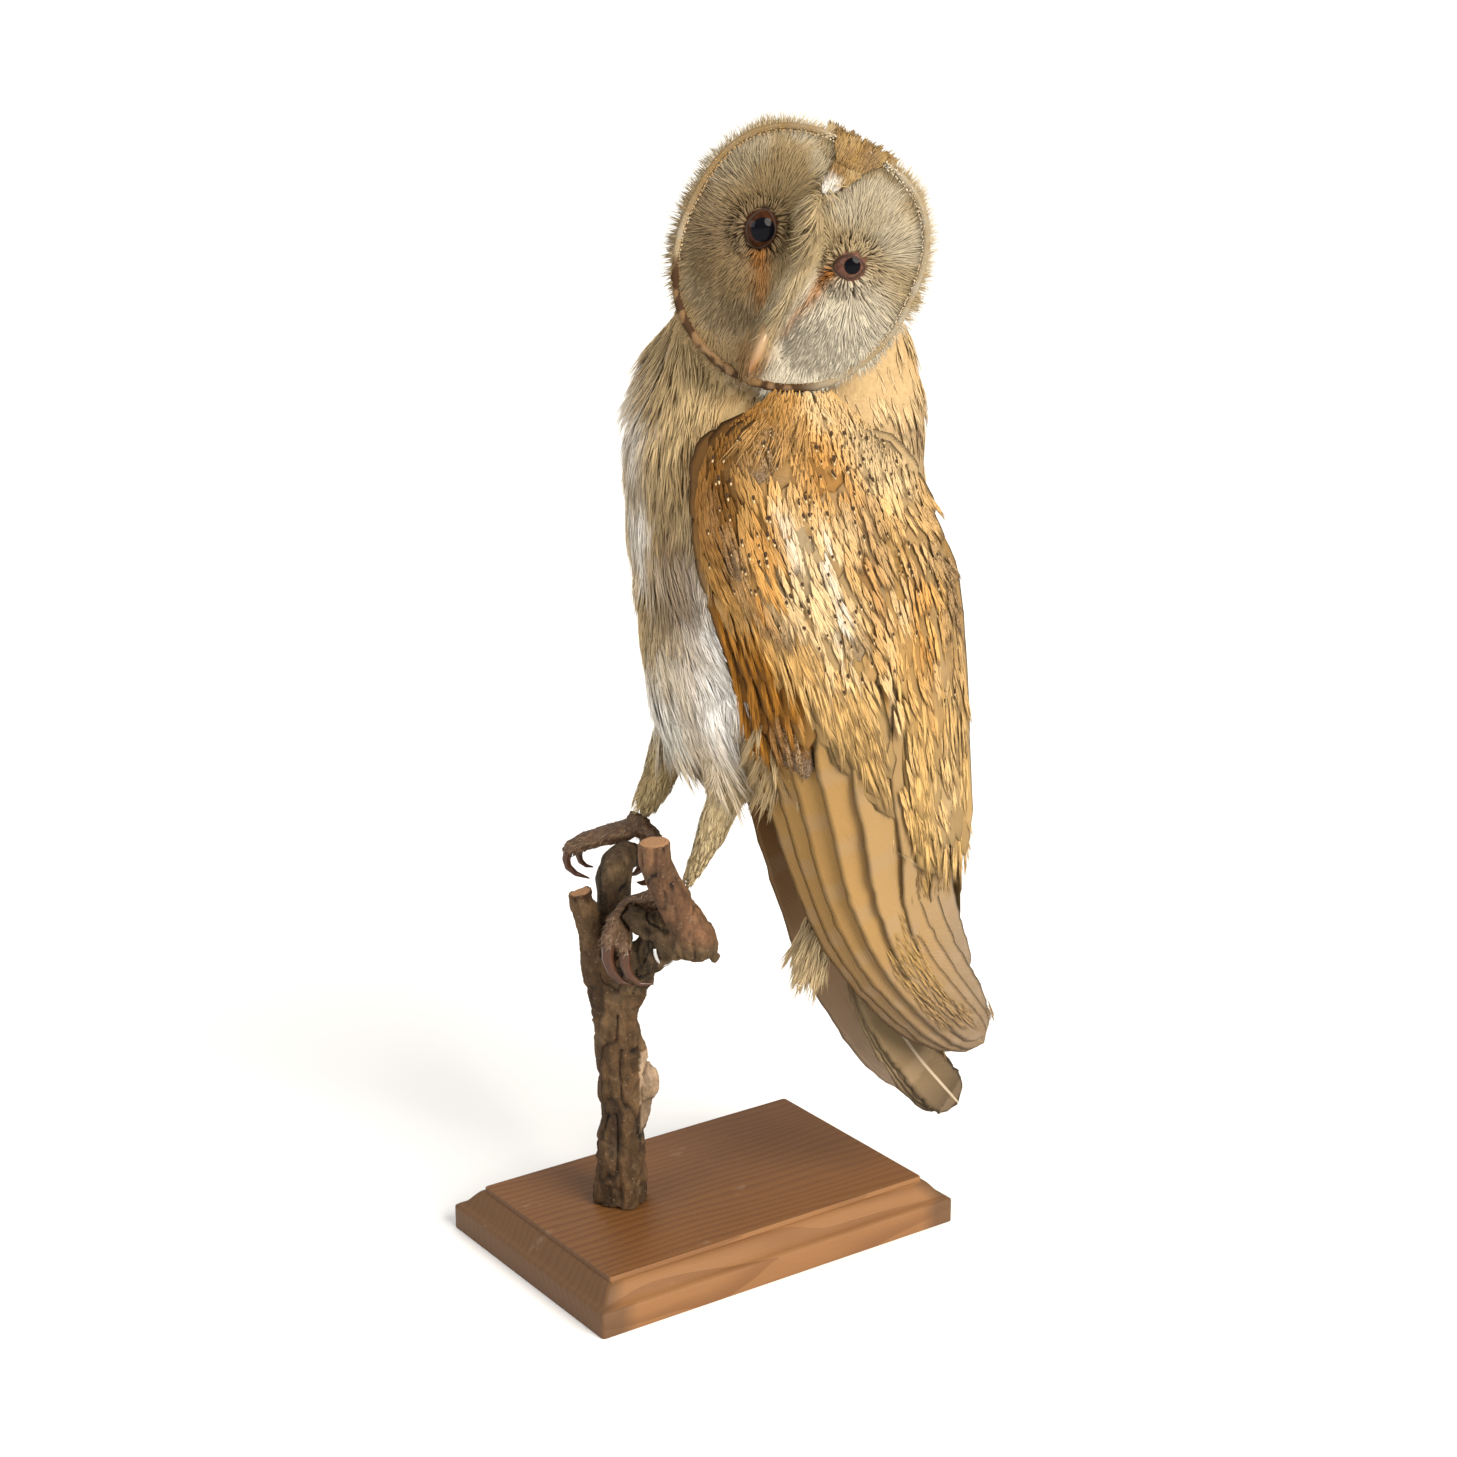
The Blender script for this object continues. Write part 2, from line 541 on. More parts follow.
def along_rows(rows, place):
    """A Catmull-Rom curve through the rows of a table, read at places from 0 to 1."""
    last = len(rows) - 1
    padded = np.vstack([2 * rows[0] - rows[1], rows, 2 * rows[-1] - rows[-2]])
    place = np.clip(np.asarray(place, float) * last, 0.0, last - 1e-9)
    index = place.astype(int)
    t = (place - index)[..., None]
    before, start, end, after = (padded[index + k] for k in range(4))
    square, cube = 2 * before - 5 * start + 4 * end - after, 3 * start - before - 3 * end + after
    return 0.5 * (2 * start + (end - before) * t + square * t**2 + cube * t**3)


def wing_surface(side, along, across, lift=0.0):
    """A wing's outer face and the way it faces.

    At each place along, a parabola runs from the leading edge (across 0) through the middle to the dorsal
    edge (across 1). lift raises the point off the face. side is -1 for the left wing and 1 for the right,
    which hangs a little lower and further forward.
    """
    along, across = np.broadcast_arrays(np.asarray(along, float), np.asarray(across, float))
    row = along_rows(WING_STATIONS, along)
    if side > 0:
        drop = 4.0 + 32.0 * ramp(along, 0.0, 0.6)
        forward = np.stack([7.0 * along + 2.0 * along**6, 20.0 * along**3], -1)
        row[..., [1, 4]] -= drop[..., None]
        row[..., [0, 3]] -= forward
    lead = np.stack([row[..., 0], side * row[..., 2], row[..., 1]], -1)
    dorsal = np.stack([row[..., 3], side * row[..., 5], row[..., 4]], -1)
    middle = (lead + dorsal) / 2
    middle[..., 1] = side * row[..., 6]
    control = 2 * middle - (lead + dorsal) / 2
    share = across[..., None]
    point = (1 - share) ** 2 * lead + 2 * share * (1 - share) * control + share**2 * dorsal
    chord = (1 - share) * (control - lead) + share * (dorsal - control)
    outward = unit(np.stack([-chord[..., 1], chord[..., 0], np.zeros_like(along)], -1))
    outward *= np.sign(outward[..., 1:2] * side + 1e-9)
    point[..., 1] += MID_PLANE
    return point + outward * np.asarray(lift, float)[..., None], outward


def wing_core(side):
    """A closed shell a little inside the wing's solid: outer face, then the inner face back, ring by ring."""
    along = np.linspace(0.02, WING_CORE_END, CORE_ROWS)[:, None]
    across = np.linspace(0.035, 0.965, CORE_COLUMNS)[None, :]
    thickness = along_rows(WING_STATIONS, along[:, 0])[:, 7][:, None] * np.sin(math.pi * across) ** 0.5
    outer, outward = wing_surface(side, along, across, np.full((CORE_ROWS, CORE_COLUMNS), -WING_INSET))
    inner = outer - outward * (np.maximum(thickness - WING_INSET, 0.0) + 1.6)[..., None]
    return np.concatenate([outer, inner[:, ::-1]], axis=1)


# ---- skin
# One skin over the whole bird, inside the solids by the depth of the plumage: the stuffed neck, trunk,
# head, thighs and shanks and the bare wings, with the two dishes and the ridge of the face worked into it.

HEAD_CENTRE = np.array([34.6, -12.0, 393.3])
HEAD_ROLL, HEAD_PITCH = math.radians(25.0), math.radians(2.0)
DISC_HALF_WIDTH, DISC_TOP, DISC_BOTTOM = 42.8, 44.5, 48.5
RIM_DEPTH = -30.0  # plane of the ruff along the head's own Y
FACE_COAT = 2.4  # depth of the face's filaments
EYE_RADIUS, EYE_DEPTH = 7.6, -28.4
EYES = {"right": (-16.0, 3.8), "left": (17.2, 5.2)}  # across and up from the head's middle
rolled = np.array([
    [math.cos(HEAD_ROLL), 0, math.sin(HEAD_ROLL)],
    [0, 1, 0],
    [-math.sin(HEAD_ROLL), 0, math.cos(HEAD_ROLL)],
])
pitched = np.array([
    [1, 0, 0],
    [0, math.cos(HEAD_PITCH), -math.sin(HEAD_PITCH)],
    [0, math.sin(HEAD_PITCH), math.cos(HEAD_PITCH)],
])
HEAD_TURN = rolled @ pitched


def from_head(points):
    """From the head's frame, which looks along its own -Y, to the bird's."""
    return points @ HEAD_TURN.T + HEAD_CENTRE


def to_head(points):
    """From the bird's frame to the head's."""
    return (points - HEAD_CENTRE) @ HEAD_TURN


def reach_of(x, z):
    """How far a place on the face is from the middle, as a share of the head's outline there."""
    high = np.where(z > 0, DISC_TOP, DISC_BOTTOM)
    power = np.where(z > 0, 2.6, 2.0)
    return (np.abs(x / DISC_HALF_WIDTH) ** power + np.abs(z / high) ** power) ** (1 / power)


def off_ridge(x, z):
    """Distance across the face from the crest of its ridge, which leans over at the top."""
    return x - 1.4 + 3.8 * ramp(z, 5.0, 24.0)


def face_depth(x, z):
    """The face's own Y: a swell with a raised rim, a ridge from the crown's notch to the bill, two dishes."""
    reach = reach_of(x, z)
    rim = 7.0 * reach**3 * np.clip((1.02 - reach) / 0.12, 0.0, 1.0)
    width = 4.4 + 3.0 * np.clip((z + 30.0) / 55.0, 0, 1)
    aside = np.abs(off_ridge(x, z))
    ends = np.clip((z + 46.0) / 14.0, 0, 1) * np.clip((34.0 - z) / 18.0, 0, 1)
    ridge = (7.0 * np.exp(-((aside / width) ** 2)) + 4.2 * np.exp(-((aside / 2.4) ** 1.5))) * ends
    dishes = sum(5.6 * np.exp(-(((x - ex) ** 2 + (z - ez) ** 2) / 12.0**2)) for ex, ez in EYES.values())
    cheeks = 2.2 * np.exp(-(((np.abs(x) - 20.0) ** 2 + (z + 20.0) ** 2) / 15.0**2))
    return RIM_DEPTH - (5.2 * np.clip(1.0 - reach**2, 0, 1) + rim + ridge + cheeks - dishes)


def face_normal(x, z):
    """The way the face looks at a place, from its slopes."""
    step = 0.4
    slope_x = (face_depth(x + step, z) - face_depth(x - step, z)) / (2 * step)
    slope_z = (face_depth(x, z + step) - face_depth(x, z - step)) / (2 * step)
    return unit(np.stack([slope_x, -np.ones_like(slope_x), slope_z], -1))


def coat_depth(points):
    """How deep the plumage is over the skin: thick on the breast and thin on the head and legs, mm."""
    head = to_head(points)
    on_head = np.clip((1.12 - np.linalg.norm(head / np.array([46.0, 40.0, 50.0]), axis=-1)) / 0.15, 0, 1)
    leg = np.clip((212.0 - points[..., 2]) / 15.0, 0, 1) * np.clip((36.0 - points[..., 0]) / 10.0, 0, 1)
    depth = 5.5 - 2.0 * np.clip((points[..., 0] - 30) / 30, 0, 1)
    depth = depth * (1 - on_head) + 3.2 * on_head
    return depth * (1 - leg) + 2.4 * leg


BODY_VOXEL, SKIN_VOXEL = 2.2, 1.7
LEG_NODES = ["thigh_left", "thigh_right", "shank_left", "shank_right"]
BODY_NODES = ["trunk", "neck", "cranium", "facial_disc", *LEG_NODES, "undertail"]
body_points, body_normals, body_quads = remeshed(merged_copy(*BODY_NODES), BODY_VOXEL, 8)
body_points = body_points - body_normals * coat_depth(body_points)[:, None]
stuffed = [(body_points, [body_quads])]
for side in SIDES.values():
    core = wing_core(side)
    stuffed.append((core.reshape(-1, 3), ring_faces(*core.shape[:2])))
stuffing_points, stuffing_faces, offset = [], [], 0
for part_points, part_faces in stuffed:
    stuffing_points.append(part_points)
    stuffing_faces += [tuple(face) for group in part_faces for face in (group + offset).tolist()]
    offset += len(part_points)
stuffing = bpy.data.meshes.new("stuffing")
stuffing.from_pydata(world(np.vstack(stuffing_points)).tolist(), [], stuffing_faces)
skin_points, skin_normals, skin_quads = remeshed(stuffing, SKIN_VOXEL, 4)
skin_head = to_head(skin_points)
on_face = np.clip((-22.0 - skin_head[:, 1]) / 5.0, 0, 1)
on_face *= np.clip((0.97 - reach_of(skin_head[:, 0], skin_head[:, 2])) / 0.06, 0, 1)
on_face *= (np.abs(skin_head[:, 0]) < 48) & (np.abs(skin_head[:, 2]) < 52)
sculpted = face_depth(skin_head[:, 0], skin_head[:, 2]) + FACE_COAT
skin_head[:, 1] += (sculpted - skin_head[:, 1]) * on_face
skin_points = from_head(skin_head)

CREAM = np.array([0.52, 0.385, 0.20])
WHITE = np.array([0.92, 0.88, 0.80])
PALE_GOLD = np.array([0.69, 0.51, 0.28])
GOLD = np.array([0.70, 0.42, 0.145])
ORANGE = np.array([0.50, 0.22, 0.04])
STRAW = np.array([0.66, 0.42, 0.155])
GREY_BROWN = np.array([0.25, 0.17, 0.10])
DARK = np.array([0.06, 0.035, 0.02])
FACE_SKIN = np.array([0.46, 0.35, 0.2])


def soft_patch(a, b, centre, size):
    """A soft round patch: exp(-r * r), where r is the distance from its centre as a share of its size."""
    return np.exp(-(((a - centre[0]) / size[0]) ** 2) - ((b - centre[1]) / size[1]) ** 2)


THROAT_BROWN = np.array([0.40, 0.27, 0.14])
LEG_STRAW, FAR_LEG_BROWN = np.array([0.66, 0.53, 0.31]), np.array([0.50, 0.37, 0.17])
BREAST_PATCHES = [  # colour, strength, centre and size towards the back and up, mm
    (np.array([0.24, 0.155, 0.085]), 0.85, (-9.0, 288.0), (9.0, 22.0)),
    (WHITE, 0.7, (-22.0, 345.0), (5.0, 12.0)),
    (np.array([0.98, 0.96, 0.93]), 1.0, (4.0, 252.0), (11.0, 32.0)),
    (WHITE, 1.1, (-19.0, 228.0), (9.0, 18.0)),
]


def body_tint(points):
    """The plumage's own colour: cream and white in front and below, pale gold on the neck and the back."""
    x, y, z = np.moveaxis(points, -1, 0)
    cloud = drift(points, 22.0, 11)
    fine = drift(points, 7.0, 12)
    tint = blend(np.broadcast_to(CREAM, points.shape), WHITE, ramp(cloud + 0.5 * fine, 0.70, 1.2))
    tint = tint * (0.72 + 0.5 * drift(points, 12.0, 13))[..., None]
    tint = blend(tint, THROAT_BROWN, 0.55 * ramp(cloud, 0.35, 0.7) * ramp(z, 300, 350))
    for colour, strength, centre, size in BREAST_PATCHES:
        tint = blend(tint, colour, strength * np.clip(1.4 * soft_patch(x, z, centre, size), 0, 0.95))
    edge = 16.0 - 14.0 * ramp(z, 330, 372) + 14 * (cloud - 0.5)
    upper = ramp(x, edge, edge + 22)
    tint = blend(tint, PALE_GOLD, upper * ramp(z, 150, 190))
    tint = blend(tint, GOLD, upper * ramp(cloud, 0.5, 0.85) * ramp(z, 150, 220) * 0.7)
    back = ramp(x, 62, 82) * ramp(z, 370, 330) * ramp(z, 150, 220)
    tint = blend(tint, GREY_BROWN * 1.3, back * ramp(fine, 0.3, 0.7) * 0.6)
    leg = ramp(z, 212, 196) * ramp(x, 36, 26)
    tint = blend(tint, LEG_STRAW, leg * 0.8)
    return blend(tint, FAR_LEG_BROWN, leg * ramp(y, -6, 4) * 0.6)


skin = Finish("skin", Roughness=0.9, Specular_IOR_Level=0.1)
skin_down = skin.noise(skin.place(), 600.0, 4.0, 0.65)
skin.give(Base_Color=skin.mix(0.25 + skin_down * 0.5, skin.painted("tint"), (0.30, 0.22, 0.14), "MULTIPLY"))
skin.bump(skin_down, 0.0006)
bare_wing = np.abs(skin_points[:, 1] - MID_PLANE) > 48.0
skin_tint = blend(body_tint(skin_points), GOLD * 0.8, bare_wing.astype(float))
skin_tint = blend(skin_tint, FACE_SKIN, on_face)
solid("owl_skin", world(skin_points), [skin_quads], skin, [*BODY_NODES, "wing_left", "wing_right"],
      paint={"tint": skin_tint})

# ---- body plumage
# Soft contour feathers, each a loose fan of fine curved barbs on a short shaft. They root in the skin and
# lie down and back along the body, longest and softest on the breast and belly, short on crown and legs.

SPIKE_TRIANGLE = np.array([(-1.0, -0.12), (1.0, -0.12), (0.0, 0.18)])  # a barb's section: across, up
SPIKE_TAPER = np.array([0.7, 1.0, 0.75, 0.4, 0.3])  # a barb's share of its width at each ring from the root
FAN_RINGS = 2
chance = np.random.default_rng(4)  # the coat's one source of chance, drawn from piece after piece
PATCH = 0.003  # size of each feather's own patch on the unwrap


def spikes(root, along, out, length, width, rise, sway, rings=3):
    """Slender closed barbs, three-sided, tapering to a point.

    Each runs from its root in the direction along, rises by rise * t * (1.3 - t) and bends sideways by
    sway * t * t, all times its length, where t goes from 0 at the root to 1 at the tip.
    Returns the points, (barbs, 3 * rings + 1, 3), and t at each point.
    """
    side = np.cross(out, along)
    t = np.linspace(0, 1, rings + 1)
    lift = rise[:, None] * t * (1.3 - t)
    bend = sway[:, None] * t**2
    line = root[:, None] + length[:, None, None] * (
        along[:, None] * t[:, None] + out[:, None] * lift[..., None] + side[:, None] * bend[..., None]
    )
    half = width[:, None] / 2 * SPIKE_TAPER[:rings]
    across, up = SPIKE_TRIANGLE[:, 0, None], SPIKE_TRIANGLE[:, 1, None]
    section = across * side[:, None, None] + up * out[:, None, None]
    body = line[:, :rings, None] + half[..., None, None] * section
    points = np.concatenate([body.reshape(len(root), -1, 3), line[:, -1:]], axis=1)
    return points, np.append(np.repeat(t[:rings], 3), 1.0)


def spike_faces(count, rings=3):
    """A three-sided barb's faces: a cap at the root, quads between the rings, triangles to the tip."""
    sides, last = [(0, 1), (1, 2), (2, 0)], 3 * (rings - 1)
    quads = [(base + j, base + k, base + 3 + k, base + 3 + j) for base in range(0, last, 3) for j, k in sides]
    triangles = [(2, 1, 0)] + [(last + j, last + k, 3 * rings) for j, k in sides]
    step = (np.arange(count) * (3 * rings + 1))[:, None, None]
    return [(np.array(quads) + step).reshape(-1, 4), (np.array(triangles) + step).reshape(-1, 3)]


def spike_unwrap(home, t, aside=0.0):
    """Each single barb's own patch of the unwrap, round its home there."""
    spots = home[:, None] + PATCH * np.stack([t * 0 + aside, t - 0.5], -1)[None]
    return spots.reshape(-1, 2)


def fans(root, along, out, length, width, spread, barbs, rise=0.12, curl=0.5):
    """Loose feathers: each a fan of barbs that leave its shaft and bend back towards its tip.

    A barb's angle from the shaft is spread * place, where place goes from -1 to 1 across the fan.
    Returns the barbs' points, t at each point, and for each barb its feather and its place in the fan.
    """
    count = len(root)
    place = (np.arange(barbs) + 0.5) / barbs * 2 - 1
    place = place[None] + chance.normal(0, 0.35 / barbs, (count, barbs))
    angle = spread * place
    side = np.cross(out, along)[:, None]
    direction = along[:, None] * np.cos(angle)[..., None] + side * np.sin(angle)[..., None]
    start = root[:, None] + along[:, None] * (length[:, None] * 0.3 * (1 - place**2))[..., None]
    start = start + out[:, None] * chance.uniform(-0.12, 0.15, (count, barbs))[..., None]
    long = length[:, None] * (0.72 - 0.22 * place**2) * chance.uniform(0.82, 1.12, (count, barbs))
    lift = rise * chance.uniform(0.3, 1.6, (count, barbs))
    sway = -curl * angle + chance.normal(0, 0.05, (count, barbs)) + chance.normal(0, 0.06, (count, 1))
    thick = width * chance.uniform(0.75, 1.25, (count, barbs))
    flat = [part.reshape(count * barbs, -1) for part in (start, direction)]
    ways = np.repeat(out, barbs, axis=0)
    sizes = [part.ravel() for part in (long, thick, lift, sway)]
    points, t = spikes(*flat, ways, *sizes, FAN_RINGS)
    return points, t, np.repeat(np.arange(count), barbs), place.ravel()


def hang_feathers(name, made, unwrap, tint, nodes, tips=None, grey=None):
    """One coat piece from fans: a colour for each barb's root and tip, and a patch of the unwrap each."""
    points, t, feather, place = made
    count, corners = points.shape[:2]
    patch = np.stack(np.broadcast_arrays(place[:, None] * 0.5, t[None] - 0.5), -1)
    spots = unwrap[feather][:, None] + PATCH * patch
    near = tint[feather][:, None]
    far = near if tips is None else tips[feather][:, None]
    share = t[None, :, None] ** 1.5
    colour = (near * (1 - share) + far * share) * (0.80 + 0.24 * t[None, :, None])
    clouded = np.zeros(count) if grey is None else grey[feather]
    return solid(name, world(points), spike_faces(count, FAN_RINGS), down, nodes,
                 maps={"OFBake": spots.reshape(-1, 2)},
                 paint={"tint": colour.reshape(-1, 3), "grey": np.repeat(clouded, corners)})


def scattered(points, normals, quads, count, keep):
    """Roots spread evenly by area over the faces of a skin that keep() wants: places and normals."""
    corners = points[quads]
    middle = corners.mean(axis=1)
    area = np.linalg.norm(np.cross(corners[:, 2] - corners[:, 0], corners[:, 3] - corners[:, 1]), axis=-1)
    area = area * keep(middle)
    ladder = np.cumsum(area)
    picks = (np.arange(count) + chance.uniform(0, 1, count)) / count * ladder[-1]
    face = np.searchsorted(ladder, picks)
    a, b = chance.uniform(0, 1, (2, count, 1))
    weights = np.concatenate([(1 - a) * (1 - b), a * (1 - b), a * b, (1 - a) * b], axis=1)[..., None]
    root = (corners[face] * weights).sum(axis=1)
    return root, unit((normals[quads[face]] * weights).sum(axis=1))


def laid(flow, normal):
    """A flow made to lie in the surface."""
    return unit(flow - normal * np.sum(flow * normal, axis=-1, keepdims=True))


def body_unwrap(points):
    """A place on the body's unwrap: the angle round its upright axis, and the height."""
    turn = np.arctan2(points[:, 1] - MID_PLANE, points[:, 0] - 31.0) / (2 * math.pi) + 0.5
    return np.column_stack([0.02 + 0.96 * turn, 0.02 + 0.96 * points[:, 2] / 445.0])


down = Finish("soft_down", Roughness=0.8, Specular_IOR_Level=0.12)
down_grain = down.noise(down.place(), 1600.0, 2.0)
fine_speck = down.step(down.noise(down.place(), 1100.0, 3.0, 0.75), 0.42, 0.58)
mottled = down.mix(fine_speck, (0.11, 0.065, 0.032), (0.35, 0.235, 0.13))
down_colour = down.mix(down_grain * 0.25, down.painted("tint"), (0.66, 0.55, 0.42), "MULTIPLY")
down.give(Base_Color=down.mix(down.painted("grey", 2), down_colour, mottled))


def is_wing(points):
    """True where the stuffed wings cover the body."""
    x, y, z = np.moveaxis(points, -1, 0)
    return (np.abs(y - MID_PLANE) > 46.0) & (x > 0) & (z > 165) & (z < 338)


def on_head(points):
    """True over the whole head, the face as well."""
    head = to_head(points)
    round_head = np.linalg.norm(head / np.array([47.0, 41.0, 52.0]), axis=-1) < 1.0
    before = (head[:, 1] < -18.0) & (np.abs(head[:, 0]) < 45.0) & (np.abs(head[:, 2]) < 50.0)
    return round_head | before & (reach_of(head[:, 0], head[:, 2]) < 1.02)


def speckle(tint, share, size):
    """Turns the tips of a share of the feathers dark, for small spots."""
    chosen = chance.uniform(0, 1, len(tint)) < share
    tips = tint.copy()
    tips[chosen] = tips[chosen] * (1 - size) + DARK * size
    return tips


def varied(tint, low, high):
    """The feathers' colours, each a little lighter or darker than the next."""
    return tint * chance.uniform(low, high, (len(tint), 1))


def breast_zone(points):
    """True on the throat, breast and belly, clear of the wings, the head and the legs."""
    x, y, z = np.moveaxis(points, -1, 0)
    return (x < 40) & (z > 205) & ~is_wing(points) & ~on_head(points)


BREAST_COUNT, BACK_COUNT, CROWN_COUNT = 2950, 1150, 2100
BREAST_LENGTH, BACK_LENGTH, CROWN_LENGTH = (17.0, 27.0), (11.0, 15.0), (5.5, 7.5)
WING_TOP_TINT = GOLD * np.array([0.60, 0.52, 0.42])
breast_root, breast_out = scattered(skin_points, skin_normals, skin_quads, BREAST_COUNT, breast_zone)
breast_root = breast_root + breast_out * (2.6 * (drift(breast_root, 13.0, 25) - 0.4))[:, None]
sweep = np.tile([0.10, 0.0, -1.0], (len(breast_root), 1))
sweep[:, 0] += 0.75 * (drift(breast_root, 22.0, 21) - 0.5) * 2
sweep[:, 1] += 0.6 * (drift(breast_root, 20.0, 22) - 0.5) * 2
breast_along = laid(sweep, breast_out)
hanging = (breast_along[:, 2] < -0.62) | (breast_root[:, 2] < 300)
breast_root, breast_out, breast_along = (part[hanging] for part in (breast_root, breast_out, breast_along))
breast_height = breast_root[:, 2]
breast_long = chance.uniform(*BREAST_LENGTH, len(breast_root)) * (0.60 + 0.40 * ramp(breast_height, 385, 345))
breast_tint = varied(body_tint(breast_root), 0.88, 1.1)
over_wing = ramp(MID_PLANE - breast_root[:, 1], 30, 40) * ramp(breast_height, 320, 332)
breast_tint = blend(breast_tint, WING_TOP_TINT, 0.85 * over_wing * ramp(breast_height, 372, 356))
breast_tips = speckle(breast_tint * 1.04, 0.012, 0.75)
breast = fans(breast_root, breast_along, breast_out, breast_long, 0.68, 0.36, 10, rise=0.10, curl=0.9)
near_side = breast_root[breast[2], 1] < MID_PLANE
for word, chosen in (("near", near_side), ("far", ~near_side)):
    part = (breast[0][chosen], breast[1], breast[2][chosen], breast[3][chosen])
    hang_feathers(f"breast_feathers_{word}", part, body_unwrap(breast_root), breast_tint,
                  ["trunk", "neck"], breast_tips)


def back_zone(points):
    """True on the nape and the back, above the tail and clear of the wings."""
    x, y, z = np.moveaxis(points, -1, 0)
    return (x >= 38) & ~is_wing(points) & ~on_head(points) & (z > 140)


back_root, back_out = scattered(skin_points, skin_normals, skin_quads, BACK_COUNT, back_zone)
sweep = np.tile([0.12, 0.0, -1.0], (len(back_root), 1))
sweep[:, :2] += 0.25 * (np.stack([drift(back_root, 20.0, 23), drift(back_root, 20.0, 24)], -1) - 0.5)
back_along = laid(sweep, back_out)
back_tint = varied(body_tint(back_root), 0.88, 1.1)
back_tips = speckle(back_tint, 0.05, 0.85)
back_long = chance.uniform(*BACK_LENGTH, len(back_root))
back = fans(back_root, back_along, back_out, back_long, 0.8, 0.42, 10, rise=0.10, curl=0.7)
hang_feathers("back_feathers", back, body_unwrap(back_root), back_tint, ["trunk", "neck"],
              back_tips)

# ---- crown
# Short close feathers over the crown, the nape and the sides of the head behind the ruff: golden buff,
# clouded with grey-brown and flecked with small dark spots.


def crown_zone(points):
    """True on the head behind the disc and at the disc's own rim."""
    head = to_head(points)
    outside = reach_of(head[:, 0], head[:, 2]) > ramp(head[:, 1], -26.0, -30.0) * 0.9
    return on_head(points) & (head[:, 1] > -33.5) & outside


crown_root, crown_out = scattered(skin_points, skin_normals, skin_quads, CROWN_COUNT, crown_zone)
crown_head = to_head(crown_root)
from_axis = unit(crown_head * np.array([1.0, 0.0, 1.0])) @ HEAD_TURN.T
crown_out = unit(blend(crown_out, from_axis, ramp(crown_head[:, 1], -14.0, -25.0)))
sweep = np.tile([0.0, 1.0, 0.0], (len(crown_root), 1))
sweep[:, 2] = -0.5 * ramp(crown_head[:, 1], -10, 30)
crown_along = laid(sweep @ HEAD_TURN.T, crown_out)
crown_tint = np.tile(GOLD * 0.5, (len(crown_root), 1))
crown_tint = blend(crown_tint, PALE_GOLD * 0.65, ramp(drift(crown_root, 9.0, 31), 0.4, 0.8))
crown_tint = blend(crown_tint, GREY_BROWN * 1.4, 0.6 * ramp(drift(crown_root, 7.0, 32), 0.55, 0.8))
side_of_head = ramp(np.abs(crown_head[:, 0]), 26, 40) * ramp(crown_head[:, 2], 30, 5)
crown_tint = blend(crown_tint, PALE_GOLD * 0.8, side_of_head * 0.7)
crown_tint = varied(crown_tint * np.array([0.84, 0.80, 0.72]), 0.85, 1.12)
crown_tips = speckle(crown_tint, 0.16, 0.85)
crown_long = chance.uniform(*CROWN_LENGTH, len(crown_root)) * (1 - 0.4 * ramp(crown_head[:, 1], -18, -26))
crown = fans(crown_root, crown_along, crown_out, crown_long, 0.6, 0.5, 7, rise=-0.05, curl=0.7)
hang_feathers("crown_feathers", crown, body_unwrap(crown_root), crown_tint, ["cranium"],
              crown_tips)

# ---- legs
# Short plush feathering down the thighs and shanks to the toes, cream and straw-coloured, ragged at the
# back of each leg, with the undertail tuft in the same soft feathers.


LEG_COUNT, VENT_COUNT, TUFT_COUNT = 1200, 500, 70
LEG_LENGTH, VENT_LENGTH, TUFT_LENGTH = (7.0, 11.0), (10.0, 15.0), (18.0, 24.0)
TUFT_STRAW = [0.70, 0.54, 0.31]


def leg_zone(points):
    """True on the thighs and shanks."""
    x, y, z = np.moveaxis(points, -1, 0)
    return (z < 212) & (x < 34) & (z > 140)


leg_root, leg_out = scattered(skin_points, skin_normals, skin_quads, LEG_COUNT, leg_zone)
sweep = np.tile([-0.35, 0.0, -1.0], (len(leg_root), 1)) + chance.normal(0, 0.12, (len(leg_root), 3))
leg_along = laid(sweep, leg_out)
leg_tint = varied(body_tint(leg_root), 0.85, 1.12)
leg_long = chance.uniform(*LEG_LENGTH, len(leg_root)) * (0.7 + 0.5 * ramp(leg_root[:, 2], 165, 205))
legs = fans(leg_root, leg_along, leg_out, leg_long, 0.5, 0.5, 8, rise=0.20, curl=0.7)
hang_feathers("leg_feathers", legs, body_unwrap(leg_root), leg_tint, LEG_NODES)


def vent_zone(points):
    """True under the tail, behind the legs."""
    x, y, z = np.moveaxis(points, -1, 0)
    return (z < 206) & (x >= 34) & ~is_wing(points)


vent_root, vent_out = scattered(skin_points, skin_normals, skin_quads, VENT_COUNT, vent_zone)
sweep = np.tile([0.05, 0.0, -1.0], (len(vent_root), 1)) + chance.normal(0, 0.1, (len(vent_root), 3))
vent_along = laid(sweep, vent_out)
vent_tint = varied(np.tile(PALE_GOLD * 0.9, (len(vent_root), 1)), 0.8, 1.05)
vent_long = chance.uniform(*VENT_LENGTH, len(vent_root)) * 0.7
vent = fans(vent_root, vent_along, vent_out, vent_long, 0.6, 0.45, 7, rise=0.0)
hang_feathers("vent_feathers", vent, body_unwrap(vent_root), vent_tint, ["undertail"])

